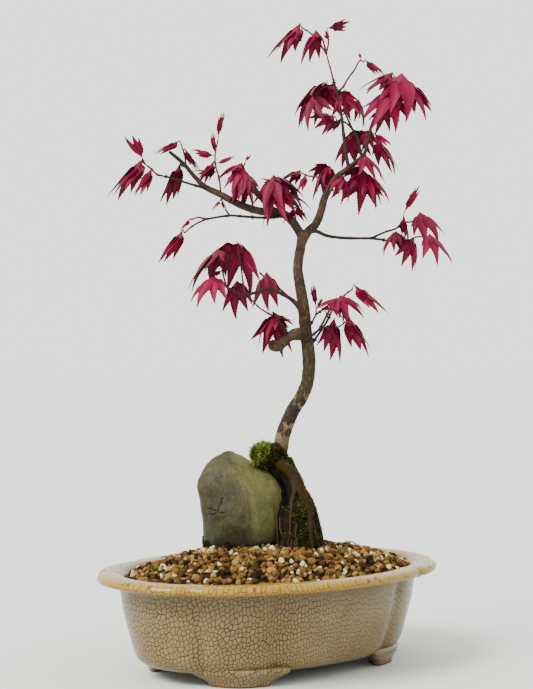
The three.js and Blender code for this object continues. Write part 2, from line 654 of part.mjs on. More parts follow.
// A leaf with its stalk, as one skin. The blade hangs from its base along hang, with its top turned
// to front. It leaves hang at rootSpread and turns by bend over its length. The stalk comes from
// root and meets the hub.
function leafSolid({ root, base, hang, front, lobes, rootSpread, bend, length }) {
  const across = new THREE.Vector3().crossVectors(hang, front);
  const outward = (angle) =>
    new THREE.Vector3()
      .addScaledVector(front, Math.cos(radians(angle)))
      .addScaledVector(across, Math.sin(radians(angle)));

  // The point of the leaf at a share of one lobe, on its upper and its lower side.
  const skins = (angle, share, sideways, lobeLength) => {
    const spread = rootSpread + (bend * share * lobeLength) / length;
    const out = outward(angle);
    const round = new THREE.Vector3().crossVectors(hang, out);
    const centre = base
      .clone()
      .addScaledVector(hang, (length / bend) * (Math.sin(spread) - Math.sin(rootSpread)))
      .addScaledVector(out, (length / bend) * (Math.cos(rootSpread) - Math.cos(spread)))
      .addScaledVector(round, sideways);
    const normal = out.multiplyScalar(Math.cos(spread)).addScaledVector(hang, -Math.sin(spread));
    return bothSides.map((half) => centre.clone().addScaledVector(normal, half));
  };

  // Points: the three corners of the stalk at the hub, at its bend and at its root, the hub's
  // underside, and then the outline as pairs, upper before lower.
  const stalk = base.clone().sub(root).normalize();
  const bendPoint = base.clone().addScaledVector(hang, -stalkBend);
  const corners = (centre, axis) =>
    stalkCorners.map((angle) => {
      const corner = outward(angle);
      return corner.addScaledVector(axis, -corner.dot(axis)).setLength(petioleRadius).add(centre);
    });
  const points = [
    ...corners(base.clone().addScaledVector(hang, -leafThickness / 2), hang),
    ...corners(bendPoint, hang.clone().add(stalk).normalize()),
    ...corners(root, stalk),
    base.clone().addScaledVector(hang, leafThickness / 2),
  ];
  const underside = points.length - 1;
  const faces = [[6, 8, 7]];
  [0, 3].forEach((ring) => {
    [0, 1, 2].forEach((i) => {
      const a = ring + i;
      const b = ring + ((i + 1) % 3);
      faces.push([a, b + 3, b], [a, a + 3, b + 3]);
    });
  });

  const outline = [];
  const upper = (i) => points.length + 2 * i;
  const lower = (i) => points.length + 2 * i + 1;
  const bothSkins = (a, b, c) => {
    faces.push([upper(a), upper(c), upper(b)], [lower(a), lower(b), lower(c)]);
  };
  const fan = lobeFans[lobes];
  const step = radians(fan[1][0] - fan[0][0]);
  const cornerOf = (i) => {
    if (i === 0 || fan[i][0] < -stalkSide) return 0;
    if (i === fan.length - 1 || fan[i][0] > stalkSide) return 2;
    return 1;
  };
  fan.forEach(([angle, size], i) => {
    const cutAngle = i > 0 ? (fan[i - 1][0] + angle) / 2 : angle - outerCut;
    const widest = rootSpread + bend * lobeWidest * size;
    const radiusThere = (length / bend) * (Math.cos(rootSpread) - Math.cos(widest));
    const half = Math.min(lobeHalfWidth * length * Math.sqrt(size), lobeRoom * step * radiusThere);
    const cut = outline.length;
    const plain = Math.abs(i - (fan.length - 1) / 2) > (wideLobes[lobes] - 1) / 2;
    const next = cut + (plain ? 2 : 4);
    outline.push(skins(cutAngle, cutDepth * Math.min(size, largestCut), 0, length));
    if (plain) {
      outline.push(skins(angle, 1, 0, length * size));
      bothSkins(cut, cut + 1, next);
    } else {
      outline.push(
        skins(angle, lobeWidest, -half, length * size),
        skins(angle, 1, 0, length * size),
        skins(angle, lobeWidest, half, length * size),
      );
      bothSkins(cut, cut + 1, cut + 3);
      bothSkins(cut, cut + 3, next);
      bothSkins(cut + 1, cut + 2, cut + 3);
    }
    const corner = cornerOf(i);
    const nextCorner = cornerOf(Math.min(i + 1, fan.length - 1));
    faces.push([corner, upper(next), upper(cut)], [underside, lower(cut), lower(next)]);
    if (nextCorner !== corner) faces.push([corner, nextCorner, upper(next)]);
  });
  const [lastAngle, lastSize] = fan.at(-1);
  outline.push(skins(lastAngle + outerCut, cutDepth * lastSize, 0, length));

  // The margin, and the hub's open side between the first and the last cut.
  const last = outline.length - 1;
  for (let i = 0; i < last; i += 1) {
    faces.push([upper(i), upper(i + 1), lower(i + 1)], [upper(i), lower(i + 1), lower(i)]);
  }
  faces.push([upper(last), 2, underside], [upper(last), underside, lower(last)]);
  faces.push([0, upper(0), lower(0)], [0, lower(0), underside], [2, 0, underside]);
  return solidOf(geometryFrom([...points, ...outline.flat()], faces));
}

// The rule by which a leaf grows from its stem. The first leaf leans the way the stem goes and the
// next to the other side, as a maple's pairs do. The stalk carries on with the stem a little before
// the blade hangs, and the blade's top turns up and away from the stem.
function growLeaf(curve, [share, heading, length, openness], order, random) {
  const root = curve.getPoint(share);
  const onward = curve.getTangent(share);
  const firstSide = curve.getPoint(1).y < curve.getPoint(0).y ? -1 : 1;
  const lean = (order % 2 ? -firstSide : firstSide) * between(growth.lean, random());
  const reachVector = new THREE.Vector3(Math.cos(radians(heading)), lean, Math.sin(radians(heading)));
  const reach = length * reachVector.length();
  const hang = reachVector.normalize();
  const stalk = hang.clone().addScaledVector(onward, growth.carryOn);
  stalk.addScaledVector(up, growth.lift).normalize();
  const base = root.clone().addScaledVector(stalk, growth.shortestStalk + growth.stalkShare * length);
  const front = new THREE.Vector3(stalk.x, stalk.y + growth.topLean * lean, growth.topLift);
  front.applyAxisAngle(up, radians(between([-growth.topTurn, growth.topTurn], random())));
  front.addScaledVector(hang, -front.dot(hang)).normalize();
  let lobes = 3;
  if (length >= fiveLobedFrom) lobes = 5;
  if (length >= sevenLobedFrom) lobes = 7;
  const drawnOpen = between(lobes === 3 ? growth.openSmall : growth.openLarge, random());
  const open = openness ?? drawnOpen;
  const rootSpread = radians(rootFolded + rootOpening * open);
  const bend = radians(tipOpening * open) - rootSpread;
  const along = (Math.sin(rootSpread + bend) - Math.sin(rootSpread)) / bend;
  const out = (Math.cos(rootSpread) - Math.cos(rootSpread + bend)) / bend;

  // The blade turns back so that its middle lobe's tip lies where the heading and length say.
  const turnBack = new THREE.Quaternion().setFromAxisAngle(
    new THREE.Vector3().crossVectors(front, hang),
    Math.atan2(out, along),
  );
  hang.applyQuaternion(turnBack);
  front.applyQuaternion(turnBack);
  return { root, base, hang, front, lobes, rootSpread, bend, length: reach / Math.hypot(out, along) };
}

function spraySolid(stems, seed, wood) {
  const random = seeded(seed);
  const parts = stems.flatMap(({ path, leaves }) => {
    const curve = new THREE.CatmullRomCurve3(path.map(vector));
    const grown = leaves.map((leaf, order) => growLeaf(curve, leaf, order, random));
    const stem = shoot(path.map((point) => [...point, stemRadius]), 3, 1, 0);
    return [stem, ...grown.map(leafSolid)];
  });
  return tidied(joined(parts).subtract(wood), joinTolerance);
}

// Soil

// The room inside the pot, kept clear of its wall and carried up past the rim.
function potRoom() {
  const rings = [...potInside].reverse().map(([inset, height, groove]) => [
    inset + clearance,
    height + clearance,
    groove,
  ]);
  const [topInset, , topGroove] = rings.at(-1);
  rings.push([topInset, roomTop, topGroove]);
  return solidOf(loft(rings.map(ovalRing)));
}

function soilHeight(x, y) {
  const rimInset = potInside[0][0];
  const across = Math.abs(x) / (rimHalfLength - rimInset);
  const deep = Math.abs(y) / (rimHalfWidth - rimInset);
  const share = (across ** ovalPower + deep ** ovalPower) ** (1 / ovalPower);
  return soilCrown - soilFall * share ** soilFallPower;
}

// A block under a lattice of granule tops, wider than the pot's room.
function soilBlock() {
  const random = seeded(5);
  const rowGap = soilSpacing * Math.sin(Math.PI / 3);
  const columns = Math.ceil((2 * rimHalfLength) / soilSpacing);
  const rows = Math.ceil((2 * rimHalfWidth) / rowGap);
  const points = [];
  for (let row = 0; row <= rows; row += 1) {
    for (let column = 0; column <= columns; column += 1) {
      const shift = row % 2 ? 0.25 : -0.25;
      const x = (column + shift - columns / 2) * soilSpacing + (random() - 0.5) * granuleShift;
      const y = (row - rows / 2) * rowGap + (random() - 0.5) * granuleShift;
      const lump = random() > lowGranules ? granuleRelief : -granuleRelief * random();
      points.push(new THREE.Vector3(x, y, soilHeight(x, y) + lump));
    }
  }
  const at = (row, column) => row * (columns + 1) + column;
  const faces = [];
  for (let row = 0; row < rows; row += 1) {
    for (let column = 0; column < columns; column += 1) {
      const [a, b] = [at(row, column), at(row, column + 1)];
      const [c, d] = [at(row + 1, column), at(row + 1, column + 1)];
      if (row % 2) faces.push([a, b, c], [b, d, c]);
      else faces.push([a, b, d], [a, d, c]);
    }
  }
  const edge = [];
  for (let column = 0; column < columns; column += 1) edge.push(at(0, column));
  for (let row = 0; row < rows; row += 1) edge.push(at(row, columns));
  for (let column = columns; column > 0; column -= 1) edge.push(at(rows, column));
  for (let row = rows; row > 0; row -= 1) edge.push(at(row, 0));
  const middle = points.length;
  points.push(new THREE.Vector3(0, 0, 0));
  const low = points.length;
  edge.forEach((i) => points.push(new THREE.Vector3(points[i].x, points[i].y, 0)));
  edge.forEach((top, i) => {
    const next = (i + 1) % edge.length;
    faces.push([top, low + i, low + next], [top, low + next, edge[next]]);
    faces.push([middle, low + next, low + i]);
  });
  return solidOf(geometryFrom(points, faces));
}

function soilSolid(sockets) {
  const size = screenSize + 2 * clearance;
  const height = screenThickness + 3 * clearance;
  const screens = [-0.5, 0.5].map((side) => boxSolid(size, size, height, side * drainSpacing, 0, floorTop));
  const cutters = joined([...sockets, ...screens]);
  return tidied(potRoom().intersect(soilBlock()).subtract(cutters), joinTolerance);
}

// Assembly

const finish = (color, roughness) =>
  new THREE.MeshStandardMaterial({ color, roughness, metalness: 0, flatShading: true });

const crackleGlaze = finish(0xb9b1a0, 0.25);
const granules = finish(0xa9835a, 0.95);
const riverStone = finish(0x777767, 0.8);
const bark = finish(0x5d5146, 0.85);
const leafRed = finish(0x8a1033, 0.55);
const brightMoss = finish(0x7b8a22, 0.95);
const darkMoss = finish(0x4a4422, 0.95);
const wireGrey = finish(0x6f6a63, 0.5);
const blackPlastic = finish(0x22241f, 0.7);

function piece(name, solid, material) {
  const mesh = new THREE.Mesh(geometryOf(solid), material);
  mesh.name = name;
  mesh.geometry.computeVertexNormals();
  return mesh;
}

const wood = woodSolid(0);
const woodClear = woodSolid(clearance);
const rockClear = rockSolid(clearance);
const apronClear = apronSolid(clearance);
const rock = tidied(rockSolid(0).subtract(woodClear), joinTolerance);
const apron = tidied(apronSolid(0).subtract(joined([woodClear, rockClear])), joinTolerance);
const cushion = tidied(cushionSolid().subtract(joined([woodClear, rockClear, apronClear])), joinTolerance);
const sockets = [woodClear, rockClear, apronClear, wireSolid(clearance)].map(inPotFrame);

const tree = new THREE.Group();
tree.rotation.z = treeTurn;
tree.add(
  piece("trunk", wood, bark),
  piece("rock", rock, riverStone),
  piece("moss_apron", apron, darkMoss),
  piece("moss_cushion", cushion, brightMoss),
  piece("tie_wire", wireSolid(0), wireGrey),
);
Object.entries(sprays).forEach(([name, stems], i) => {
  tree.add(piece(`spray_${name}`, spraySolid(stems, 101 + i, woodClear), leafRed));
});

const bonsai = new THREE.Group();
bonsai.add(
  piece("pot", potSolid(), crackleGlaze),
  piece("soil", soilSolid(sockets), granules),
  piece("drain_screen_left", screenSolid(-0.5), blackPlastic),
  piece("drain_screen_right", screenSolid(0.5), blackPlastic),
  tree,
);

export default bonsai;
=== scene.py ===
# A red maple grown with its roots over a river stone, in an oval, lobed and glazed bonsai pot.
# Lists are in millimetres, as the solids are made, and meshes are in metres.
import math
import random
import bmesh
import bpy
import numpy as np
from mathutils import Matrix, Vector, kdtree, noise


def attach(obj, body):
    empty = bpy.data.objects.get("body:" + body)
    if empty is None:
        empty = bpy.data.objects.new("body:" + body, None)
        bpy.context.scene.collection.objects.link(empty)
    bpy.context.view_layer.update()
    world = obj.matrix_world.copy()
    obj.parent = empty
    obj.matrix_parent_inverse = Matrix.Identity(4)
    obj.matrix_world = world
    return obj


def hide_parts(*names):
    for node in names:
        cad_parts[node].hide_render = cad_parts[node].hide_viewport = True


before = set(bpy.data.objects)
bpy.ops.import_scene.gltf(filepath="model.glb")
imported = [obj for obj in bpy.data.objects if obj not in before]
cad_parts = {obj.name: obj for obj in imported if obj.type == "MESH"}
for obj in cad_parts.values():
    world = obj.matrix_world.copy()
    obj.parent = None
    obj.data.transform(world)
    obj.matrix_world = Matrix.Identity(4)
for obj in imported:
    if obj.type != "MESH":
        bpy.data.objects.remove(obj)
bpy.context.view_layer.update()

mm = 0.001
treeTurn = math.radians(-41.2)  # the tree's own front is turned from the pot's
photoSize = (533, 689)


# Shared helpers: colours, meshes, curves

def paint(code):
    # A colour written as six hex digits, as the linear colour that shaders use.
    parts = [int(code[i:i + 2], 16) / 255 for i in (0, 2, 4)]
    return [p / 12.92 if p <= 0.04045 else ((p + 0.055) / 1.055) ** 2.4 for p in parts] + [1.0]


def seeded(seed):
    # The same draws as the solids' own rule makes.
    state = seed

    def draw():
        nonlocal state
        state = (state * 1664525 + 1013904223) % 4294967296
        return state / 4294967296
    return draw


def between(low, high, share):
    return low + (high - low) * share


def inPotFrame(points):
    turn = np.array(Matrix.Rotation(treeTurn, 3, "Z"))
    return np.asarray(points, float) @ turn.T


def inTreeFrame(points):
    turn = np.array(Matrix.Rotation(-treeTurn, 3, "Z"))
    return np.asarray(points, float) @ turn.T


def roughness(points, size, seed):
    # Soft noise from -1 to 1 at each point, with lumps of about that size.
    shift = Vector((seed * 7.3, seed * 3.1, seed * 5.7))
    return np.array([noise.noise(Vector(p) / size + shift) for p in points])


class Heap:
    # Points and faces of a piece while it is made, with numbers kept for its material.
    def __init__(self, *marks):
        self.points, self.faces, self.slots = [], [], []
        self.marks = {mark: [] for mark in marks}

    def add(self, points, faces, slot=0, **marks):
        first = len(self.points)
        self.points.extend(tuple(p) for p in points)
        self.faces.extend(tuple(first + i for i in face) for face in faces)
        self.slots.extend([slot] * len(faces))
        for mark, values in self.marks.items():
            value = marks.get(mark, 0.0)
            values.extend(value if hasattr(value, "__len__") else [value] * len(points))

    def piece(self, name, materials, turned=True, smooth=True):
        points = inPotFrame(self.points) if turned else np.asarray(self.points, float)
        mesh = bpy.data.meshes.new(name)
        mesh.from_pydata((points * mm).tolist(), [], self.faces)
        for material in materials:
            mesh.materials.append(material)
        mesh.polygons.foreach_set("material_index", self.slots)
        mesh.polygons.foreach_set("use_smooth", [smooth] * len(mesh.polygons))
        for mark, values in self.marks.items():
            setMark(mesh, mark, values)
        mesh.validate()
        mesh.update()
        made = bpy.data.objects.new(name, mesh)
        bpy.context.scene.collection.objects.link(made)
        return made


def settle(piece, slot, *nodes):
    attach(piece, "root")
    if nodes:
        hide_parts(*nodes)
    return piece


def finishMesh(piece):
    # The piece's modifiers, taken into its mesh.
    depsgraph = bpy.context.evaluated_depsgraph_get()
    mesh = bpy.data.meshes.new_from_object(piece.evaluated_get(depsgraph))
    piece.modifiers.clear()
    piece.data = mesh
    return piece


def ofVertices(piece, kind):
    values = np.zeros(len(piece.data.vertices) * 3)
    piece.data.vertices.foreach_get(kind, values)
    return values.reshape(-1, 3)


def meshPoints(piece):
    return ofVertices(piece, "co") / mm


def meshNormals(piece):
    return ofVertices(piece, "normal")


def setPoints(piece, points):
    piece.data.vertices.foreach_set("co", (points * mm).astype(np.float32).ravel())
    piece.data.update()


def setMark(mesh, mark, values):
    # A number kept at each point of a mesh, for its material.
    kept = mesh.attributes.new(mark, "FLOAT", "POINT")
    kept.data.foreach_set("value", np.asarray(values, np.float32))


def pathPoint(path, share):
    # The centripetal curve through path, by share of its spans.
    spans = len(path) - 1
    place = share * spans
    span = min(int(place), spans - 1)
    t = place - span
    b, c = path[span], path[span + 1]
    a = path[span - 1] if span > 0 else 2 * b - c
    d = path[span + 2] if span + 2 <= spans else 2 * c - b
    gaps = [math.sqrt((q - p).length) for p, q in ((a, b), (b, c), (c, d))]
    leave = ((b - a) / gaps[0] - (c - a) / (gaps[0] + gaps[1]) + (c - b) / gaps[1]) * gaps[1]
    meet = ((c - b) / gaps[1] - (d - b) / (gaps[1] + gaps[2]) + (d - c) / gaps[2]) * gaps[1]
    return b + leave * t + (3 * (c - b) - 2 * leave - meet) * t ** 2 + (2 * (b - c) + leave + meet) * t ** 3


def pathTangent(path, share):
    step = 0.0001
    return (pathPoint(path, min(share + step, 1)) - pathPoint(path, max(share - step, 0))).normalized()


def pathRadius(radii, share):
    place = share * (len(radii) - 1)
    before = min(int(place), len(radii) - 2)
    return between(radii[before], radii[before + 1], place - before)


def closedLoft(rings):
    # Points and faces of a skin through equal rings, with a face over each end.
    count = len(rings[0])
    faces = []
    for r in range(len(rings) - 1):
        for i in range(count):
            a, b = r * count + i, r * count + (i + 1) % count
            faces.append((a, b, b + count, a + count))
    top = (len(rings) - 1) * count
    faces.append(tuple(range(count - 1, -1, -1)))
    faces.append(tuple(top + i for i in range(count)))
    return [p for ring in rings for p in ring], faces


def tube(heap, path, radii, sides, step, slot=0, swell=None, **marks):
    # A round shoot along a curve, with rounded ends. swell gives a factor by share and length.
    path = [Vector(p) for p in path]
    length = sum((b - a).length for a, b in zip(path, path[1:]))
    steps = max(3, math.ceil(length / step))
    normal = Vector((0.31, 0.92, 0.24))  # any way that no shoot runs along
    past, narrow = 0.45, 0.6  # how far an end bulges and how wide it is there, beside the radius
    rings = []
    layers = [(0, -past, narrow)] + [(i / steps, 0, 1) for i in range(steps + 1)] + [(1, past, narrow)]
    for share, shift, size in layers:
        tangent = pathTangent(path, share)
        radius = pathRadius(radii, share) * size
        if swell:
            radius *= swell(share, length)
        centre = pathPoint(path, share) + tangent * shift * pathRadius(radii, share)
        normal = (normal - tangent * normal.dot(tangent)).normalized()
        side = tangent.cross(normal)
        angles = [2 * math.pi * k / sides for k in range(sides)]
        rings.append([
            centre + normal * radius * math.cos(angle) + side * radius * math.sin(angle) for angle in angles])
    heap.add(*closedLoft(rings), slot, **marks)


def scattered(piece, count, seed):
    # Points drawn evenly over a mesh, in millimetres, with the normals there.
    mesh = piece.data
    mesh.calc_loop_triangles()
    corners = np.zeros(len(mesh.loop_triangles) * 3, int)
    mesh.loop_triangles.foreach_get("vertices", corners)
    corners = corners.reshape(-1, 3)
    points, normals = meshPoints(piece), meshNormals(piece)
    a, b, c = (points[corners[:, k]] for k in range(3))
    areas = np.linalg.norm(np.cross(b - a, c - a), axis=1)
    chance = np.random.default_rng(seed)
    chosen = chance.choice(len(corners), count, p=areas / areas.sum())
    u, v = chance.random(count), chance.random(count)
    over = u + v > 1
    u[over], v[over] = 1 - u[over], 1 - v[over]
    weights = np.stack([1 - u - v, u, v], axis=1)[:, :, None]
    at = (points[corners[chosen]] * weights).sum(axis=1)
    facing = (normals[corners[chosen]] * weights).sum(axis=1)
    return at, facing / np.linalg.norm(facing, axis=1)[:, None]


# Shared helpers: materials

def put(tree, kind, inputs=None, **settings):
    node = tree.nodes.new("ShaderNode" + kind)
    for key, value in settings.items():
        setattr(node, key, value)
    for key, value in (inputs or {}).items():
        if isinstance(value, bpy.types.NodeSocket):
            tree.links.new(value, node.inputs[key])
        else:
            node.inputs[key].default_value = value
    return node


def newMaterial(name, **fixed):
    # A material with its Principled shader. fixed are values on the shader's own sockets.
    material = bpy.data.materials.new(name)
    material.use_nodes = True
    shader = material.node_tree.nodes["Principled BSDF"]
    for key, value in fixed.items():
        shader.inputs[key.replace("_", " ")].default_value = value
    return material, material.node_tree, shader


def ramp(tree, factor, stops, hold=False):
    # Colours along a value: stops are (place, colour code).
    node = put(tree, "ValToRGB", {"Fac": factor})
    node.color_ramp.interpolation = "CONSTANT" if hold else "LINEAR"
    while len(node.color_ramp.elements) < len(stops):
        node.color_ramp.elements.new(1.0)
    for element, (place, code) in zip(node.color_ramp.elements, stops):
        element.position = place
        element.color = paint(code)
    return node.outputs["Color"]


def blended(tree, share, first, second):
    # A mix of two colours. A colour may be given by its code.
    first, second = (paint(colour) if isinstance(colour, str) else colour for colour in (first, second))
    return put(tree, "Mix", {0: share, 6: first, 7: second}, data_type="RGBA").outputs[2]


def layered(tree, colour, layers):
    # Colour over colour: each layer is how much it covers of what is below, and its colour.
    for share, over in layers:
        colour = blended(tree, share, colour, over)
    return colour


def spread(tree, value, low, high, outLow=0.0, outHigh=1.0):
    # A value's range from low to high, laid out from outLow to outHigh.
    node = put(tree, "MapRange", {0: value, 1: low, 2: high, 3: outLow, 4: outHigh})
    return node.outputs[0]


def sums(tree, operation, first, second):
    return put(tree, "Math", {0: first, 1: second}, operation=operation).outputs[0]


def mark(tree, name):
    return put(tree, "Attribute", attribute_name=name).outputs["Fac"]


def place(tree):
    return put(tree, "TexCoord").outputs["Object"]


def height(tree):
    # Height above the ground in millimetres.
    z = put(tree, "SeparateXYZ", {0: place(tree)}).outputs["Z"]
    return sums(tree, "MULTIPLY", z, 1000.0)


def streaked(tree, upright, scale, detail, distortion=0.0):
    # Noise in upright streaks: the lower upright is, the longer they are.
    drawn = put(tree, "VectorMath", {0: place(tree), 1: (1.0, 1.0, upright)}, operation="MULTIPLY")
    return put(tree, "TexNoise", {
        "Vector": drawn.outputs[0], "Scale": scale, "Detail": detail, "Distortion": distortion}).outputs[0]


def bumped(tree, shader, height, strength, distance):
    node = put(tree, "Bump", {"Height": height, "Strength": strength, "Distance": distance * mm})
    tree.links.new(node.outputs["Normal"], shader.inputs["Normal"])


def newGroup(name, inputs, outputs):
    # A node group with its number sockets: inputs gives each one's value, and outputs their names.
    group = bpy.data.node_groups.new(name, "ShaderNodeTree")
    for label, value in inputs.items():
        socket = group.interface.new_socket(label, in_out="INPUT", socket_type="NodeSocketFloat")
        socket.default_value = value
    for label in outputs:
        group.interface.new_socket(label, in_out="OUTPUT", socket_type="NodeSocketFloat")
    return group, group.nodes.new("NodeGroupInput").outputs, group.nodes.new("NodeGroupOutput").inputs


def placed(tree, group, inputs):
    return put(tree, "Group", inputs, node_tree=group).outputs


def makeMottle():
    # Soft patches as a mask from 0 to 1, and a fine grain.
    group, given, out = newGroup(
        "mottle", {"Patch size": 10.0, "Contrast": 0.3, "Grain size": 1.0}, ["Mask", "Grain"])
    scale = sums(group, "DIVIDE", 1000.0, given["Patch size"])
    patches = put(group, "TexNoise", {"Vector": place(group), "Scale": scale, "Detail": 4.0})
    low = sums(group, "SUBTRACT", 0.5, given["Contrast"])
    high = sums(group, "ADD", 0.5, given["Contrast"])
    group.links.new(spread(group, patches.outputs[0], low, high), out["Mask"])
    fineScale = sums(group, "DIVIDE", 1000.0, given["Grain size"])
    grain = put(group, "TexNoise", {"Vector": place(group), "Scale": fineScale, "Detail": 3.0})
    group.links.new(grain.outputs[0], out["Grain"])
    return group


mottle = makeMottle()


def mottled(tree, size, contrast, grain):
    return placed(tree, mottle, {"Patch size": size, "Contrast": contrast, "Grain size": grain})


def twoToned(name, tones, mottling, relief, rough=None, **fixed):
    # A material in two mottled tones. mottling is for mottled and relief for bumped, and rough
    # is the roughness at the low and high of its grain.
    material, tree, shader = newMaterial(name, **fixed)
    patches = mottled(tree, *mottling)
    tree.links.new(blended(tree, patches["Mask"], *tones), shader.inputs["Base Color"])
    if rough:
        tree.links.new(spread(tree, patches["Grain"], 0.3, 0.7, *rough), shader.inputs["Roughness"])
    bumped(tree, shader, patches["Grain"], *relief)
    return material


print("helpers ready")


# Pot

pot = {
    "halfLength": 125, "halfWidth": 91, "ovalPower": 2.1,
    "grooves": [30, 62, 118, 150, 210, 242, 298, 330],
    "grooveReach": 2.8,  # degrees over which a groove fades
    "grooveSoftness": 1.1,  # degrees over which its bottom is round
    "columns": 400,
    "footCentre": (61.7, 40.4), "footHalfLength": 18, "footHalfDepth": 7.5,
    "footLobe": 0.06,  # how far its corners stand out
    "footSplay": 0.75,  # how much of its flare is in its depth too
    "drainRadius": 11, "drainSpacing": 90, "drainLevels": (4, 20),
    "crackleSize": 2.9,  # across a cell of the crackle
    "crackleLine": 0.088, "crackleCore": 0.65,  # a line, of a cell, and its darkest part, of a line
    "crackleRandomness": 0.8, "crackleSway": 6,
    "meanRadius": 108, "profileScale": 0.75,  # these lay the crackle's net out flat
    "glaze": "7e6d4a", "glazeWarm": "735f37", "glazeShade": "4a3d27",
    "rim": "90701f", "inner": "7a5614", "clay": "4e3518", "line": "20140a",
}

# The wall as [inset from the rim's edge, height, groove depth], up the outside and over the rim.
potOutside = [
    [37, 8, 2], [30.5, 8.7, 2.6], [25.6, 12.6, 3], [20.8, 27, 3], [17, 41, 3], [12.9, 58.4, 3],
    [5, 59.8, 3], [1, 60.9, 3], [0, 62.9, 3], [1.5, 65.2, 2.8], [8, 66.4, 2.4], [16.5, 64.6, 1.6],
]
# The same down the inside, to the floor.
potInside = [[19, 61, 1.2], [28, 22, 1], [33, 15, 1], [40, 14, 1]]
# Height and how far a foot flares there.
footLevels = [[0, 0.97], [0.6, 1], [2, 1.03], [3.5, 1.12], [5, 1.27], [7, 1.5], [9, 1.65], [11.5, 1.65]]


def ovalPoint(angle, inset, groove):
    c, s = math.cos(math.radians(angle)), math.sin(math.radians(angle))
    power = 2 / pot["ovalPower"]
    x = (pot["halfLength"] - inset) * math.copysign(abs(c) ** power, c)
    y = (pot["halfWidth"] - inset) * math.copysign(abs(s) ** power, s)
    away = min(abs((angle - g + 540) % 360 - 180) for g in pot["grooves"])
    soft = pot["grooveSoftness"]
    depth = groove * math.exp(-(math.hypot(away, soft) - soft) / pot["grooveReach"])
    shrink = 1 - depth / math.hypot(x, y)
    return x * shrink, y * shrink


def smoothed(levels, steps):
    # A finer list of levels on the curve through them.
    path = [Vector(level) for level in levels]
    count = (len(levels) - 1) * steps
    return [pathPoint(path, i / count) for i in range(count + 1)]


def potRing(inset, level, groove):
    step = 360 / pot["columns"]
    ring = (ovalPoint(i * step, inset, groove) for i in range(pot["columns"]))
    return [(x, y, level) for x, y in ring]


def makePot(materials):
    heap = Heap()
    levels = smoothed(potOutside + potInside, 5)
    heap.add(*closedLoft([potRing(*level) for level in levels]))
    body = heap.piece("pot_body", materials, turned=False)
    for sideX in (-1, 1):
        for sideY in (-1, 1):
            cutOrJoin(body, makeFoot(sideX, sideY), "UNION")
    for side in (-0.5, 0.5):
        cutOrJoin(body, makeDrain(side * pot["drainSpacing"]), "DIFFERENCE")
    markPotZones(body)
    return body


def cutOrJoin(body, tool, operation):
    change = body.modifiers.new("join", "BOOLEAN")
    change.operation = operation
    change.solver = "EXACT"
    change.object = tool
    finishMesh(body)
    bpy.data.objects.remove(tool)


def makeFoot(sideX, sideY):
    centreX, centreY = pot["footCentre"]
    slopeX, slopeY = centreX / pot["halfLength"] ** 2, centreY / pot["halfWidth"] ** 2
    along = math.atan2(-sideX * slopeX, sideY * slopeY)
    sides = 48
    rings = []
    for level, flare, _ in smoothed([[h, s, 0] for h, s in footLevels], 2):
        ring = []
        for i in range(sides):
            angle = 2 * math.pi * i / sides
            lobed = 1 + pot["footLobe"] * math.cos(4 * angle)
            x = pot["footHalfLength"] * lobed * flare * math.cos(angle)
            y = pot["footHalfDepth"] * lobed * (1 + (flare - 1) * pot["footSplay"]) * math.sin(angle)
            ring.append((
                x * math.cos(along) - y * math.sin(along) + sideX * centreX,
                x * math.sin(along) + y * math.cos(along) + sideY * centreY,
                level))
        rings.append(ring)
    heap = Heap()
    heap.add(*closedLoft(rings))
    return heap.piece("foot", [], turned=False)


def makeDrain(x):
    radius = pot["drainRadius"]
    turns = [i * math.pi / 24 for i in range(48)]
    rings = [[(x + radius * math.cos(turn), radius * math.sin(turn), level) for turn in turns]
             for level in pot["drainLevels"]]
    heap = Heap()
    heap.add(*closedLoft(rings))
    return heap.piece("drain", [], turned=False)


def markPotZones(body):
    # inner is 1 on the inside wall, and bare is 1 where the clay has no glaze.
    points = meshPoints(body)
    power = pot["ovalPower"]
    inside = (potOutside[-1:] + potInside)[::-1]
    insets = np.interp(points[:, 2], [level[1] for level in inside], [level[0] for level in inside])
    across = np.abs(points[:, 0]) / (pot["halfLength"] - insets)
    deep = np.abs(points[:, 1]) / (pot["halfWidth"] - insets)
    reach = (across ** power + deep ** power) ** (1 / power)
    inner = np.clip((1.045 - reach) / 0.03, 0, 1) * (points[:, 2] > 13.5)
    setMark(body.data, "inner", inner)
    # Glaze covers the feet's sides and stops just above what they stand on.
    under = (meshNormals(body)[:, 2] < -0.93) & (points[:, 2] < 9) & (inner < 0.5)
    setMark(body.data, "bare", np.maximum(np.clip((1.6 - points[:, 2]) / 0.8, 0, 1), under))


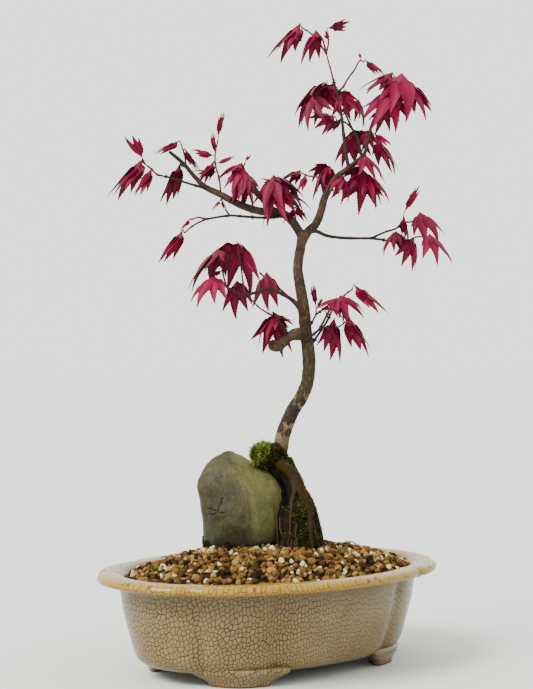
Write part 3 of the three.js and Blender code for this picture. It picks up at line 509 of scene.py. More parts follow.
def makeCrackle():
    # The fine dark net in a crackled glaze, with cells of uneven size, and each cell's own tone.
    group, given, out = newGroup("crackle", {"Cell size": 3.0, "Line width": 0.05}, ["Line", "Tone"])
    # The net lies flat on the glaze: one axis runs around the pot and the other up its profile.
    axes = put(group, "SeparateXYZ", {0: place(group)}).outputs
    ahead = sums(group, "MULTIPLY", axes["Y"], -1.0)
    around = sums(group, "MULTIPLY", sums(group, "ARCTAN2", axes["X"], ahead), pot["meanRadius"] * mm)
    flat = put(group, "VectorMath", {0: place(group), 1: (1.0, 1.0, 0.0)}, operation="MULTIPLY").outputs[0]
    outward = put(group, "VectorMath", {0: flat}, operation="LENGTH").outputs["Value"]
    upward = sums(group, "MULTIPLY", sums(group, "ADD", axes["Z"], outward), pot["profileScale"])
    unrolled = put(group, "CombineXYZ", {0: around, 1: upward}).outputs[0]
    sway = put(group, "TexNoise", {"Vector": place(group), "Scale": 55.0, "Detail": 2.0})
    far = pot["crackleSway"] * mm
    shifted = put(group, "VectorMath", {0: sway.outputs["Color"], 3: far}, operation="SCALE")
    where = put(group, "VectorMath", {0: unrolled, 1: shifted.outputs[0]}, operation="ADD").outputs[0]
    scale = sums(group, "DIVIDE", 1000.0, given["Cell size"])
    cellInputs = {"Vector": where, "Scale": scale, "Randomness": pot["crackleRandomness"]}
    edges = put(group, "TexVoronoi", cellInputs, voronoi_dimensions="2D", feature="DISTANCE_TO_EDGE")
    wide = spread(group, sway.outputs[0], 0.3, 0.7, 0.85, 1.2)
    width = sums(group, "MULTIPLY", given["Line width"], wide)
    core = sums(group, "MULTIPLY", width, pot["crackleCore"])
    group.links.new(spread(group, edges.outputs["Distance"], core, width, 1.0, 0.0), out["Line"])
    cells = put(group, "TexVoronoi", cellInputs, voronoi_dimensions="2D")
    tone = put(group, "SeparateXYZ", {0: cells.outputs["Color"]}).outputs[0]
    group.links.new(tone, out["Tone"])
    return group


def crackleGlaze():
    material, tree, shader = newMaterial(
        "crackleGlaze", Roughness=0.3, Coat_Weight=0.15, Coat_Roughness=0.08, Specular_IOR_Level=0.22)
    net = placed(tree, makeCrackle(), {"Cell size": pot["crackleSize"], "Line width": pot["crackleLine"]})
    patches = mottled(tree, 38.0, 0.22, 2.0)
    level = height(tree)
    glaze = layered(tree, blended(tree, patches["Mask"], pot["glaze"], pot["glazeWarm"]), [
        (spread(tree, net["Tone"], 0.0, 1.0, 0.0, 0.2), pot["glazeShade"]),
        # A darker band on the wall just under the rim: painted shade under its overhang.
        (spread(tree, level, 42.0, 57.0, 0.0, 0.45), pot["glazeShade"]),
        (spread(tree, level, 57.0, 61.0), pot["rim"]),
        (mark(tree, "inner"), pot["inner"]),
        (sums(tree, "MULTIPLY", net["Line"], spread(tree, level, 58.0, 62.0, 1.0, 0.75)), pot["line"]),
        (mark(tree, "bare"), pot["clay"])])
    tree.links.new(glaze, shader.inputs["Base Color"])
    rough = spread(tree, mark(tree, "bare"), 0.0, 1.0, 0.2, 0.8)
    rough = sums(tree, "ADD", rough, sums(tree, "MULTIPLY", net["Line"], 0.25))
    tree.links.new(rough, shader.inputs["Roughness"])
    bumped(tree, shader, sums(tree, "SUBTRACT", patches["Grain"], net["Line"]), 0.3, 0.12)
    return material


settle(makePot([crackleGlaze()]), "crackle_glaze", "pot")
print("pot made")


# Soil

soil = {
    "crown": 80, "fall": 15.5, "fallPower": 2.4,
    "spacing": 4.7, "stray": 1.5,  # between granules, and how far each strays
    "looseShare": 0.45, "looseShift": (2.1, 1.2),  # more granules between some of them
    "radius": (1.35, 3.7),
    "worn": 7, "wornReach": (0.38, 0.75),  # flat faces on each, and how near its middle they are
    "grit": 0.035, "stretch": (0.75, 1.35),
    "bedColumns": 120, "bedRows": 16, "bedGroove": 1.2, "bedSink": 2.4,
    "bedWall": [(40.5, 14.5), (33.5, 15.5), (28.5, 22.5), (19.5, 61)],  # inset and height, just off the pot
    "tan": "5f441f", "ochre": "705323", "brown": "38250f", "cream": "c4ae80", "pale": "8a6c3a",
    "rust": "5e3816", "dark": "1c1106", "bed": "120b03",
}

# The stone and the moss as levels: height, then left, right, front and back reach.
rockLevels = [
    [66, -43, 13, -11, 37], [74, -45, 13.5, -13, 39], [82, -46, 13.5, -14, 40],
    [91, -46.5, 13.5, -14.5, 40], [100, -48, 13.5, -13.5, 39], [108, -49, 13, -11.5, 37.5],
    [115, -50, 11.5, -9.5, 35.5], [121, -50, 7.5, -7, 33], [127, -48, 0, -3.5, 30],
    [132.5, -44.5, -10, 1, 26.5], [137, -39.5, -18.5, 6, 21.5], [139.5, -34, -24, 10.5, 17],
]
apronLevels = [
    [64, -2, 37, -14, 42], [80, -2, 35, -15, 41], [88, -2, 33, -15, 40], [95, -2, 31, -14, 38.5],
    [103, -2, 29.5, -12.5, 37], [118, -2, 22, -5, 32], [126, -4, 18, -1, 28],
    [133, -5, 13.5, 3, 24.5], [139, -3, 11, 7, 21.5], [143, 0, 9, 9.5, 19],
]


def soilHeight(x, y):
    inset = potInside[0][0]
    across = np.abs(x) / (pot["halfLength"] - inset)
    deep = np.abs(y) / (pot["halfWidth"] - inset)
    power = pot["ovalPower"]
    share = (across ** power + deep ** power) ** (1 / power)
    return soil["crown"] - soil["fall"] * share ** soil["fallPower"], share


def reachAt(levels, level):
    # Left, right, front and back reach of the stone or moss at a height.
    heights = [row[0] for row in levels]
    return [np.interp(level, heights, [row[k] for row in levels]) for k in (1, 2, 3, 4)]


def standingReach(levels, x, y):
    # How far out a place on the soil is from the middle of the stone or moss, 1 at its foot.
    points = inTreeFrame(np.stack([x, y, 0 * x], axis=1))
    left, right, front, back = reachAt(levels, 78)
    across = np.abs(points[:, 0] - (left + right) / 2) / ((right - left) / 2)
    deep = np.abs(points[:, 1] - (front + back) / 2) / ((back - front) / 2)
    power = 2.4
    return (across ** power + deep ** power) ** (1 / power)


def makeSoilBed(material):
    columns, rows = soil["bedColumns"], soil["bedRows"]
    rings = []
    for inset, level in soil["bedWall"]:
        edge = [ovalPoint(i * 360 / columns, inset, soil["bedGroove"]) for i in range(columns)]
        rings.append([(x, y, level) for x, y in edge])
    for row in range(rows, 0, -1):
        share = row / rows
        ring = []
        for x, y in edge:
            level = soilHeight(x * share, y * share)[0] - soil["bedSink"]
            ring.append((x * share, y * share, level))
        rings.append(ring)
    heap = Heap()
    heap.add(*closedLoft(rings))
    return heap.piece("soil_bed", [material], turned=False)


def granuleShapes(count, chance):
    # A rounded ball for each granule, with flat faces worn on it.
    template = bpy.data.meshes.new("ball")
    ball = bmesh.new()
    bmesh.ops.create_icosphere(ball, subdivisions=2, radius=1)
    ball.to_mesh(template)
    ball.free()
    points = np.array([v.co for v in template.vertices])
    faces = np.array([p.vertices for p in template.polygons])
    bpy.data.meshes.remove(template)
    shapes = np.repeat(points[None], count, axis=0)
    for _ in range(soil["worn"]):
        facing = chance.normal(size=(count, 3))
        facing /= np.linalg.norm(facing, axis=1)[:, None]
        reach = chance.uniform(*soil["wornReach"], count)
        over = np.einsum("gvk,gk->gv", shapes, facing) - reach[:, None]
        shapes -= np.clip(over, 0, None)[:, :, None] * facing[:, None, :]
    shapes *= 1 + chance.normal(size=(count, len(points), 1)) * soil["grit"]
    shapes *= chance.uniform(*soil["stretch"], (count, 1, 3))
    return shapes, faces


def spun(shapes, chance):
    # Each shape turned at random.
    turns = chance.normal(size=(len(shapes), 4))
    turns /= np.linalg.norm(turns, axis=1)[:, None]
    w, x, y, z = turns.T
    spin = np.array([
        [1 - 2 * (y * y + z * z), 2 * (x * y - z * w), 2 * (x * z + y * w)],
        [2 * (x * y + z * w), 1 - 2 * (x * x + z * z), 2 * (y * z - x * w)],
        [2 * (x * z - y * w), 2 * (y * z + x * w), 1 - 2 * (x * x + y * y)]]).transpose(2, 0, 1)
    return np.einsum("gij,gvj->gvi", spin, shapes)


def makeGranules(material):
    chance = np.random.default_rng(5)
    rowGap = soil["spacing"] * math.sin(math.pi / 3)
    rows, columns = np.meshgrid(np.arange(-20, 21), np.arange(-26, 27), indexing="ij")
    x = ((columns + 0.5 * (rows % 2)) * soil["spacing"]).ravel()
    y = (rows * rowGap).ravel()
    stray, shift = soil["stray"], soil["looseShift"]
    x = x + chance.uniform(-stray, stray, len(x))
    y = y + chance.uniform(-stray, stray, len(y))
    loose = chance.random(len(x)) < soil["looseShare"]
    x = np.concatenate([x, x[loose] + shift[0]])
    y = np.concatenate([y, y[loose] + shift[1]])
    level, share = soilHeight(x, y)
    clear = (standingReach(rockLevels, x, y) > 0.93) & (standingReach(apronLevels, x, y) > 0.9)
    keep = (share < 0.985) & clear
    x, y, level, share = x[keep], y[keep], level[keep], share[keep]
    radius = between(*soil["radius"], chance.beta(1.5, 2.6, len(x)))
    sink = chance.uniform(-0.2, 1.9, len(x)) + 0.5 * radius
    shapes, faces = granuleShapes(len(x), chance)
    shapes = spun(shapes, chance) * radius[:, None, None]
    shapes += np.stack([x, y, level - sink], axis=1)[:, None, :]
    # They are darker beside the stone and the moss, and at the pot's right end.
    near = np.minimum(standingReach(rockLevels, x, y), standingReach(apronLevels, x, y))
    moist = np.clip((1.13 - near) / 0.16, 0, 1)
    moist = np.maximum(moist, np.clip((x - 80) / 20, 0, 1) * 0.6)
    heap = Heap("grain", "moist")
    count, corners = shapes.shape[0], shapes.shape[1]
    starts = (np.arange(count) * corners)[:, None, None]
    heap.add(
        shapes.reshape(-1, 3), (faces[None] + starts).reshape(-1, 3).tolist(),
        grain=np.repeat(chance.random(count), corners), moist=np.repeat(moist, corners))
    return heap.piece("soil_granules", [material], turned=False, smooth=False)


def granuleMaterial():
    material, tree, shader = newMaterial("granules", Roughness=0.9, Specular_IOR_Level=0.1)
    colour = ramp(tree, mark(tree, "grain"), [
        (0.0, soil["tan"]), (0.3, soil["brown"]), (0.48, soil["ochre"]), (0.64, soil["pale"]),
        (0.79, soil["cream"]), (0.89, soil["rust"]), (0.92, soil["dark"])], hold=True)
    patches = mottled(tree, 2.2, 0.3, 0.5)
    colour = layered(tree, colour, [
        (spread(tree, patches["Mask"], 0.0, 1.0, 0.0, 0.35), soil["brown"]),
        # Darker beside the stone and the moss, and at the pot's right end.
        (spread(tree, mark(tree, "moist"), 0.0, 1.0, 0.0, 0.75), soil["dark"])])
    tree.links.new(colour, shader.inputs["Base Color"])
    bumped(tree, shader, patches["Grain"], 0.5, 0.25)
    return material


bedEarth = twoToned("soilBed", (soil["bed"], soil["dark"]), (4.0, 0.25, 1.0), (0.8, 0.6),
                    Roughness=0.95, Specular_IOR_Level=0.1)
settle(makeSoilBed(bedEarth), "granules", "soil")
settle(makeGranules(granuleMaterial()), "granules")
print("soil made")


# Tree

# Its lists are as the solids have them, apart from slight changes to the trunk's lower bend, the
# stub and three roots.

# Limbs, twigs and roots: each point is [x, y, z, radius] in the tree's frame.
limbs = [
    # trunk, with its two bends
    [[5, 15, 136, 5.4], [8, 14, 152, 4.9], [11.6, 13, 162, 4.8], [15, 12, 169, 4.6],
        [20, 10, 177, 4.5], [24.4, 8, 189, 4.3], [25, 6, 205, 4.4], [23, 5, 221, 4.2], [21.5, 3, 237, 4],
        [19.5, 2, 249, 3.6], [17.5, 1, 264, 3.3], [19.5, 0, 278, 3.2], [21, 0, 287, 3.5]],
    # left limb
    [[21.5, 0, 281, 2.9], [18, 1, 289, 3], [8.5, 4, 300, 2.9], [-7.5, 8, 302.5, 2.7],
        [-20.5, 12, 307, 2.5], [-35.5, 14, 315, 2.3], [-45.5, 15, 320, 2], [-52.5, 14, 327, 1.6],
        [-60, 12, 335.5, 1.4], [-69, 10, 343, 1.2]],
    [[7.5, 4, 300, 1.8], [-4.5, -1, 307, 1.6], [-9.5, -5, 314, 1.5], [-13.5, -8, 320, 1.5]],
    [[6.5, 4, 299, 1.3], [0.5, 0, 297.5, 1], [-7.5, -4, 297, 0.9], [-18, -11, 297, 0.9],
        [-27.5, -17, 297, 0.8], [-43, -24, 294, 0.7]],
    [[-27.5, -17, 297, 0.6], [-30.5, -18, 301, 0.6]],
    [[-42, 15, 318, 1], [-55, 8, 321, 0.8], [-69, 0, 324.5, 0.7], [-76, -4, 325.5, 0.6]],
    # right limb, its leader and inner twigs
    [[19.5, 0, 280, 2.9], [24.5, 0, 288, 2.9], [29.5, -2, 293, 2.8], [33, -5, 301.5, 2.6],
        [35, -8, 309.5, 2.5], [38.5, -10, 316, 2.3], [43, -11, 323, 2.1], [50.5, -10, 329, 1.9],
        [56.5, -8, 334, 1.6], [61.5, -5, 339, 1.4], [64, -2, 347, 1.2], [66.5, 2, 357, 1],
        [68.5, 4, 361, 0.9], [73, 5, 362.5, 0.8]],
    [[51, -10, 329, 1.3], [48.5, -11, 343.5, 1.1], [47, -11, 357.5, 1], [45.5, -9, 369.5, 1],
        [43, -7, 381, 0.9], [41, -6, 389, 0.8]],
    [[60, -6, 337.5, 1], [57, 0, 352, 0.8], [54.5, 3, 357, 0.7], [50, 8, 368, 0.6]],
    [[43.5, -7, 380, 0.8], [47.5, -8, 383.5, 0.7]],
    # right side branch and its fork
    [[25, 1, 288, 1.8], [29.5, 2, 288.5, 1.4], [37, 7, 286, 1.2], [49, 14, 285, 1.1],
        [69.5, 22, 285.5, 1]],
    [[68, 22, 285.5, 0.9], [78, 24, 290, 0.7], [85.5, 22, 292.5, 0.7],
        [89.5, 20, 296.5, 0.6]],
    [[68, 22, 285.5, 0.9], [77.5, 20, 284, 0.8], [88, 14, 281, 0.6]],
    # left middle branch and its fork
    [[20.5, 0, 234, 2.2], [16.5, -2, 239.5, 1.7], [11.5, -5, 243.5, 1.4], [4, -9, 247, 1.2],
        [-2.5, -12, 249, 1.2], [-12, -16, 246, 1.2], [-18, -18, 244.5, 1.1], [-24.5, -20, 246.5, 1],
        [-29.5, -22, 249.5, 0.9]],
    [[11.5, -5, 243.5, 1], [4, 2, 251, 0.7], [-2.5, 6, 256, 0.6], [-8, 9, 261, 0.6]],
    # pruned stub and the twig on it
    [[22.5, 3, 219, 4], [17.5, 1, 219.5, 4.3], [14, -1, 218.8, 3.8], [10.5, -3, 216.2, 2.9],
        [7, -5.5, 213, 3.2], [3.6, -8, 211.3, 3.9], [1, -10, 212, 3.9], [0.4, -10.5, 213.4, 2.8]],
    [[11, -3, 216, 1.1], [9, -5, 220, 0.8], [7, -6, 224, 0.7], [3, -7, 231.5, 0.6],
        [1, -7, 233.5, 0.6]],
    # right lower twigs
    [[21.5, 1, 215, 1.3], [27, -4, 218.5, 0.9], [31, -8, 222, 0.8], [33.5, -11, 226, 0.8],
        [37.5, -15, 234, 0.7]],
    [[23, 4, 209.5, 1.3], [27.5, 5, 213.5, 0.9], [30.5, 6, 218, 0.9], [34, 8, 223, 0.8],
        [37.5, 10, 228.5, 0.8], [41, 11, 236, 0.7]],
    [[21, 4, 220, 1], [26, 6, 225.5, 0.7], [30, 8, 232.5, 0.6], [36, 11, 237, 0.6]],
    # roots, down to the soil and into it
    [[5, 14, 139, 4.8], [8.8, 13, 131, 4.4], [14.8, 12, 123, 3.8], [20, 12, 115, 3.1],
        [25.3, 12, 107, 2.6], [29, 12, 98, 2.2], [31.8, 12, 88.5, 1.9], [34.2, 12, 78.5, 1.7],
        [37, 12, 67, 1.4]],
    # The root above hugs the stone more than in the solids, and the next two are finer and thicker.
    [[7.5, 9, 138, 2], [12.5, 2, 126, 1.7], [15, -4, 115.5, 1.5], [13, -8, 106, 1.4],
        [15.5, -11, 96.5, 1.4], [13.5, -13, 86.5, 1.3], [12, -15, 69, 1.1]],
    [[1, 9, 134, 3], [8, 3, 131, 3.8], [14.5, 1.5, 125, 4.3], [18.5, -0.5, 116.5, 4],
        [23, -4, 108.5, 3.2], [25.5, -8, 99, 2], [25.5, -10, 88, 1.6], [27.5, -11.5, 68.5, 1.3]],
    [[15, -11, 97.5, 1.1], [16, -13, 88.5, 1], [15, -14, 80, 0.9], [16, -15, 70.5, 0.8]],
    [[11, 18, 134.5, 3.2], [18.5, 24, 120, 2.5], [25, 29, 106, 1.9], [28.5, 33, 92, 1.5],
        [30.5, 35, 78, 1.3], [32, 37, 62.5, 1.1]],
]

# Sprays of leaves. Each leafy stem is its path of [x, y, z] points, and then its leaves as
# [share of the path, heading, length]. A heading is in degrees in the tree's front plane.
# A fourth value is how open the leaf is, from 0, folded, to 1, flat.
sprays = {
    "apex": [
        ([[41, -6, 389], [39, -4, 397.5], [36.5, -3, 407]], []),
        ([[36.5, -3, 407], [34, -3, 416.5], [31, -3, 420.5]], [[1, 248, 20, 0.3]]),
        ([[36.5, -3, 407], [29.5, -1, 417.5], [24.5, 0, 422.5], [20.5, -1, 424.5]],
         [[1, 228, 25, 0.3]]),
        ([[36.5, -3, 407], [38, -3, 414.5], [37, -3, 421]], [[1, 22, 15, 0.15], [0.5, 110, 6]]),
    ],
    "leader_left": [
        ([[43.5, -7, 378], [39.5, -3, 383], [36.5, -1, 385]],
         [[1, 238, 28, 0.9], [0.8, 281, 12]]),
        ([[36.5, -1, 385], [32, -5, 382.5], [28, -8, 377]], [[1, 262, 20, 0.6]]),
    ],
    "inner_left": [
        ([[54.5, 3, 357], [49.5, 12, 363.5], [44.5, 18, 365.5]], [[1, 178, 18], [0.7, 215, 11]]),
    ],
    "inner_right": [
        ([[50, 8, 368], [52, 10, 374.5], [55, 12, 377], [58.5, 14, 378]],
         [[0.6, 226, 10], [1, 272, 16]]),
    ],
    "leader_right": [
        ([[44.5, -8, 375], [47, -6, 380]], [[1, 275, 16], [0.8, 250, 10]]),
    ],
    "shoot": [
        ([[47.5, -8, 383.5], [51.5, -7, 390.5], [55.5, -5, 396], [59, -4, 402], [61.5, -4, 401]],
         [[0.8, 110, 4], [1, 322, 13, 0.1]]),
    ],
    "upper_right": [
        ([[73, 5, 362.5], [76, 6, 369], [79, 7, 377], [81.5, 7, 384.5], [83, 6, 392.5]],
         [[1, 208, 22, 0.45], [0.65, 250, 25], [0.3, 254, 15]]),
        ([[81.5, 7, 384.5], [84, 6, 389], [86.5, 5, 392]], [[1, 276, 29, 0.6]]),
        ([[86.5, 5, 392], [90.5, 7, 391], [93, 9, 387]], [[1, 308, 18], [0.7, 280, 18]]),
    ],
    "mid_right": [
        ([[66.5, 1, 355.5], [63, 6, 356], [59, 11, 356.5]], [[1, 270, 16], [0.3, 288, 12]]),
    ],
    "mid_right_low": [
        ([[66.5, 1, 355.5], [69, 2, 351.5], [71, 1, 348]], [[1, 304, 20, 0.4], [0.3, 330, 11]]),
    ],
    "inner_low": [
        ([[57, 0, 352], [55, 3, 353.5], [54, 4, 352.5]], [[1, 255, 18, 0.4]]),
    ],
    "limb_right": [
        ([[56.5, -8, 334], [59, -11, 329], [62.5, -11, 323.5]],
         [[1, 308, 18], [0.95, 256, 21], [0.85, 284, 20], [0.45, 233, 12]]),
        ([[59, -11, 329], [61, -13, 335]], [[1, 300, 18, 0.6]]),
    ],
    "limb_front": [
        ([[45, -11, 324.5], [47.5, -15, 322]], [[1, 221, 12], [0.8, 268, 14], [0.5, 230, 7]]),
    ],
    "crotch": [
        ([[38, -10, 315], [33.5, -8, 320.5], [30, -5, 324], [24.5, 1, 325.5], [20, 5, 328]],
         [[1, 208, 13], [0.8, 252, 11]]),
        ([[33.5, -8, 320.5], [35.5, -4, 327], [37.5, -1, 331.5]], [[1, 225, 13], [0.9, 250, 20]]),
    ],
    "centre": [
        ([[8.5, 4, 300], [6.5, 0, 307], [4.5, -4, 315], [2.5, -6, 322.5]],
         [[1, 256, 23, 0.6], [0.95, 312, 21], [0.7, 259, 24, 0.5], [0.6, 322, 21], [0.85, 175, 9]]),
    ],
    "crotch_low": [
        ([[17, 2, 290.5], [16, 3, 297.5], [15, 4, 303.5]], [[1, 315, 10], [0.9, 242, 10]]),
    ],
    "left_mid": [
        ([[-20.5, 12, 307], [-19.5, 8, 315.5], [-18.5, 5, 323], [-19, 3, 331], [-18, 2, 334]],
         [[1, 50, 5], [0.8, 214, 17], [0.7, 251, 16], [0.5, 281, 18], [0.6, 268, 18], [0.3, 231, 11]]),
    ],
    "left_stub": [
        ([[-13.5, -8, 320], [-16, -10, 323]], [[1, 280, 11]]),
    ],
    "upright": [
        ([[-34.5, 14, 314.5], [-35.5, 12, 325], [-38, 10, 334.5], [-38, 10, 342.5], [-36.5, 10, 349.5]],
         [[1, 78, 17, 0], [0.65, 96, 14, 0], [0.6, 165, 14, 0.1], [0.5, 236, 15, 0.2], [0.45, 20, 12, 0],
          [0.3, 176, 15, 0.1]]),
    ],
    "left_under": [
        ([[-33.5, 13, 314.5], [-34, 9, 310]], [[1, 227, 7], [0.9, 294, 7]]),
    ],
    "left_tip": [
        ([[-58, 13, 333], [-58.5, 11, 338.5], [-59.5, 10, 343], [-61, 9, 347.5]],
         [[1, 207, 17, 0.1], [0.7, 300, 14, 0.1]]),
    ],
    "left_drop": [
        ([[-58, 13, 333], [-61, 16, 334]], [[1, 250, 24, 0.1]]),
    ],
    "left_end": [
        ([[-76, -4, 325.5], [-79, -5, 328], [-81, -5, 330], [-85.5, -6, 333.5]],
         [[1, 124, 17, 0.25], [0.9, 227, 28, 0.2], [0.3, 244, 18, 0.1]]),
    ],
    "lower_left": [
        ([[-43, -24, 294], [-48, -25, 295], [-52.5, -25, 293.5]], [[1, 228, 8]]),
        ([[-43, -24, 294], [-51, -24, 290], [-57, -24, 285]], [[1, 232, 21, 0.1]]),
    ],
    "side_upper": [
        ([[89.5, 20, 296.5], [90, 19, 299]], [[1, 62, 20, 0], [0.8, 276, 14, 0.2]]),
        ([[89.5, 20, 296.5], [95.5, 18, 296.5], [99.5, 16, 300]], [[1, 303, 21, 0.6]]),
    ],
    "side_lower": [
        ([[88, 14, 281], [91, 12, 281], [97.5, 7, 285], [104.5, 1, 284.5]],
         [[1, 305, 20], [0.55, 262, 18]]),
    ],
    "side_inner": [
        ([[88, 14, 281], [85, 15, 285], [83.5, 15, 288]], [[1, 304, 14], [0.9, 252, 14]]),
    ],
    "mid_left_end": [
        ([[-29.5, -22, 249.5], [-32, -21, 259], [-33.5, -20, 271.5]],
         [[1, 238, 28, 0.7], [0.5, 200, 8]]),
    ],
    "mid_left_low": [
        ([[-27, -21, 248], [-32, -25, 251.5], [-36, -27, 254]], [[1, 240, 19, 0.9]]),
    ],
    "mid_left_near": [
        ([[-25, -20, 247], [-24, -15, 251], [-23, -12, 252.5]], [[1, 262, 21, 0.5]]),
    ],
    "mid_left_tall": [
        ([[-18, -18, 244.5], [-19.5, -18, 258], [-22, -18, 276]], [[1, 280, 29, 1]]),
    ],
    "mid_left_back": [
        ([[-4, 7, 257.5], [-3.5, 5, 259]], [[1, 266, 22, 0.4]]),
    ],
    "stub": [
        ([[1, -7, 233.5], [1.5, -3, 232], [2.5, 1, 231.5]],
         [[1, 273, 24], [0.9, 238, 19], [1, 330, 11]]),
        ([[2.5, 1, 231.5], [-1, -5, 232.5], [-8, -11, 236.5], [-13.5, -14, 242]], []),
    ],
    "right_low": [
        ([[41, 11, 236], [43.5, 7, 240.5], [45, 4, 243]],
         [[1, 315, 18], [0.9, 288, 16], [0.8, 213, 12], [0.5, 200, 8]]),
        ([[43.5, 7, 240.5], [50.5, 6, 247], [54, 6, 249.5]], [[1, 318, 24, 0.1]]),
    ],
    "right_front": [
        ([[37.5, -15, 234], [39, -14, 237.5]], [[1, 217, 7], [0.9, 300, 9]]),
    ],
    "right_inner": [
        ([[30, 8, 232.5], [30, 8, 235]], [[1, 98, 15, 0], [0.8, 62, 8, 0]]),
    ],
    "right_drop": [
        ([[32.5, -10, 225], [35.5, -9, 223.5], [40.5, -7, 223], [46, -7, 225], [49.5, -8, 228]],
         [[1, 297, 24, 0.25]]),
        ([[40.5, -7, 223], [41.5, -7, 227.5]], [[1, 266, 23, 0.25]]),
    ],
}


# Stone

stone = {
    "columns": 380, "rows": 170,
    "lumps": 0.7, "ripples": 0.5, "grit": 0.14, "grain": 0.07,  # how far its surface strays, coarse to fine
    # Hollows as x, z, size and depth: in the left face, at the waist of the foot, right of the crest.
    "hollows": [(-38, 93, 9, 1.4), (-20, 82, 13, 2.2), (-4, 102, 12, 1.0)],
    "crackDepth": 0.65, "crackWidth": 0.5,
    "crestRise": 1.9, "crestWidth": 6.5,
    "crestTop": 137, "crestFade": 10,  # where a crest ends, and how far below it starts to fade
    "olive": "3f3719", "green": "21240f", "grey": "39351f", "pale": "655828",
    "litRightFace": "74713f", "shade": "1a170a", "darkest": "0a0803",
    "footSpikes": 60000, "footLength": (0.7, 1.9), "footLevels": (74, 80.5),  # moss around its foot
}

# The stone's section has flat faces that meet in a blunt ridge at its front.
rockSection = [
    [1, 0], [0.93, 0.5], [0.62, 0.88], [0.1, 1], [-0.45, 0.95], [-0.84, 0.65], [-1, 0.15],
    [-0.97, -0.35], [-0.75, -0.75], [-0.3, -0.93], [0.12, -1], [0.36, -0.93], [0.62, -0.7], [0.86, -0.36],
]

# Blunt edges between its flat faces, as [x, z] points on its front, and how bold each is.
crests = [
    [[[-32, 137], [-26.5, 130.7], [-19, 122.5], [-12.3, 114.6], [-9.5, 100], [-7.5, 83]], 1],
    [[[-49, 117], [-41, 119.5], [-33, 117.5], [-26.5, 122]], 0.5],
    [[[-41, 78], [-36.5, 91], [-29, 96], [-20, 92], [-9.5, 96]], 0.55],
]

# Cracks on its front, as [x, z] points.
cracks = [
    [[-32.6, 110.5], [-33.4, 107.5], [-35.2, 104.8], [-36.2, 101.6], [-38.4, 99.9], [-40.1, 99.1],
     [-42.2, 99.6]],
    [[-35.9, 102.6], [-38.6, 102.1], [-40.6, 103.4], [-43.6, 102.9]],
    [[-36.2, 101.6], [-34.4, 100.6], [-31.5, 100.9]],
]


def levelLoft(levels, section, columns, rows):
    # A fine skin through the levels, closed below by a face and above by a rounded top.
    path = [Vector(p + [0]) for p in section]
    spans = len(path)
    around = []
    for i in range(columns):
        place = i * spans / columns
        k = int(place)
        near = [path[(k + j) % spans] for j in (-1, 0, 1, 2)]
        flat = near[1].lerp(near[2], place - k)
        around.append(pathPoint(near, (1 + place - k) / 3).lerp(flat, 0.5))
    sizes = []
    for row in range(rows + 1):
        level = between(levels[0][0], levels[-1][0], row / rows)
        sizes.append(reachAt(levels, level) + [level])
    sizes = np.array(sizes)
    for _ in range(6):  # rounds the corners between levels
        sizes[1:-1, :4] = (sizes[:-2, :4] + 2 * sizes[1:-1, :4] + sizes[2:, :4]) / 4

    def ring(size, shrink=1, rise=0):
        left, right, front, back, level = size
        return [((left + right) / 2 + (right - left) / 2 * p.x * shrink,
                 (front + back) / 2 + (back - front) / 2 * p.y * shrink, level + rise) for p in around]
    dome = [ring(sizes[-1], shrink, rise) for shrink, rise in ((0.8, 0.9), (0.5, 1.5), (0.2, 1.8))]
    return [ring(size) for size in sizes] + dome


def distanceToLine(points, line):
    # Distance in the front plane from each point to a line of [x, z] points.
    flat = points[:, [0, 2]]
    best = np.full(len(points), 1e9)
    for a, b in zip(np.array(line[:-1], float), np.array(line[1:], float)):
        t = np.clip(((flat - a) @ (b - a)) / ((b - a) @ (b - a)), 0, 1)
        best = np.minimum(best, np.linalg.norm(flat - a - t[:, None] * (b - a), axis=1))
    return best


def makeStone(material):
    heap = Heap()
    heap.add(*closedLoft(levelLoft(rockLevels, rockSection, stone["columns"], stone["rows"])))
    body = heap.piece("stone", [material])
    points = meshPoints(body)
    own = inTreeFrame(points)
    normals = inTreeFrame(meshNormals(body))
    push = stone["lumps"] * roughness(own, 17.0, 3) + stone["ripples"] * roughness(own, 8.0, 4)
    push += stone["grit"] * roughness(own, 2.2, 5) + stone["grain"] * roughness(own, 0.9, 6)
    for x, z, size, depth in stone["hollows"]:
        away = np.hypot(own[:, 0] - x, own[:, 2] - z)
        push -= depth * np.exp(-(away / size) ** 2) * (normals[:, 1] < 0)
    crest = np.zeros(len(own))
    for line, bold in crests:
        crest = np.maximum(crest, bold * np.exp(-distanceToLine(own, line) / stone["crestWidth"]))
    crest *= (normals[:, 1] < 0.1) * np.clip((stone["crestTop"] - own[:, 2]) / stone["crestFade"], 0, 1)
    push += stone["crestRise"] * (crest - 0.3)
    crack = np.zeros(len(own))
    for line in cracks:
        crack = np.maximum(crack, np.exp(-(distanceToLine(own, line) / stone["crackWidth"]) ** 2))
    crack *= normals[:, 1] < -0.2
    push -= stone["crackDepth"] * crack
    setPoints(body, points + meshNormals(body) * push[:, None])
    setMark(body.data, "crack", crack)
    setMark(body.data, "crest", crest)
    # The face that looks right, painted paler in the material: painted light.
    setMark(body.data, "litRightFace", np.clip(1.6 * normals[:, 0] + 0.1, 0, 1) * (normals[:, 1] < 0.2))
    return body


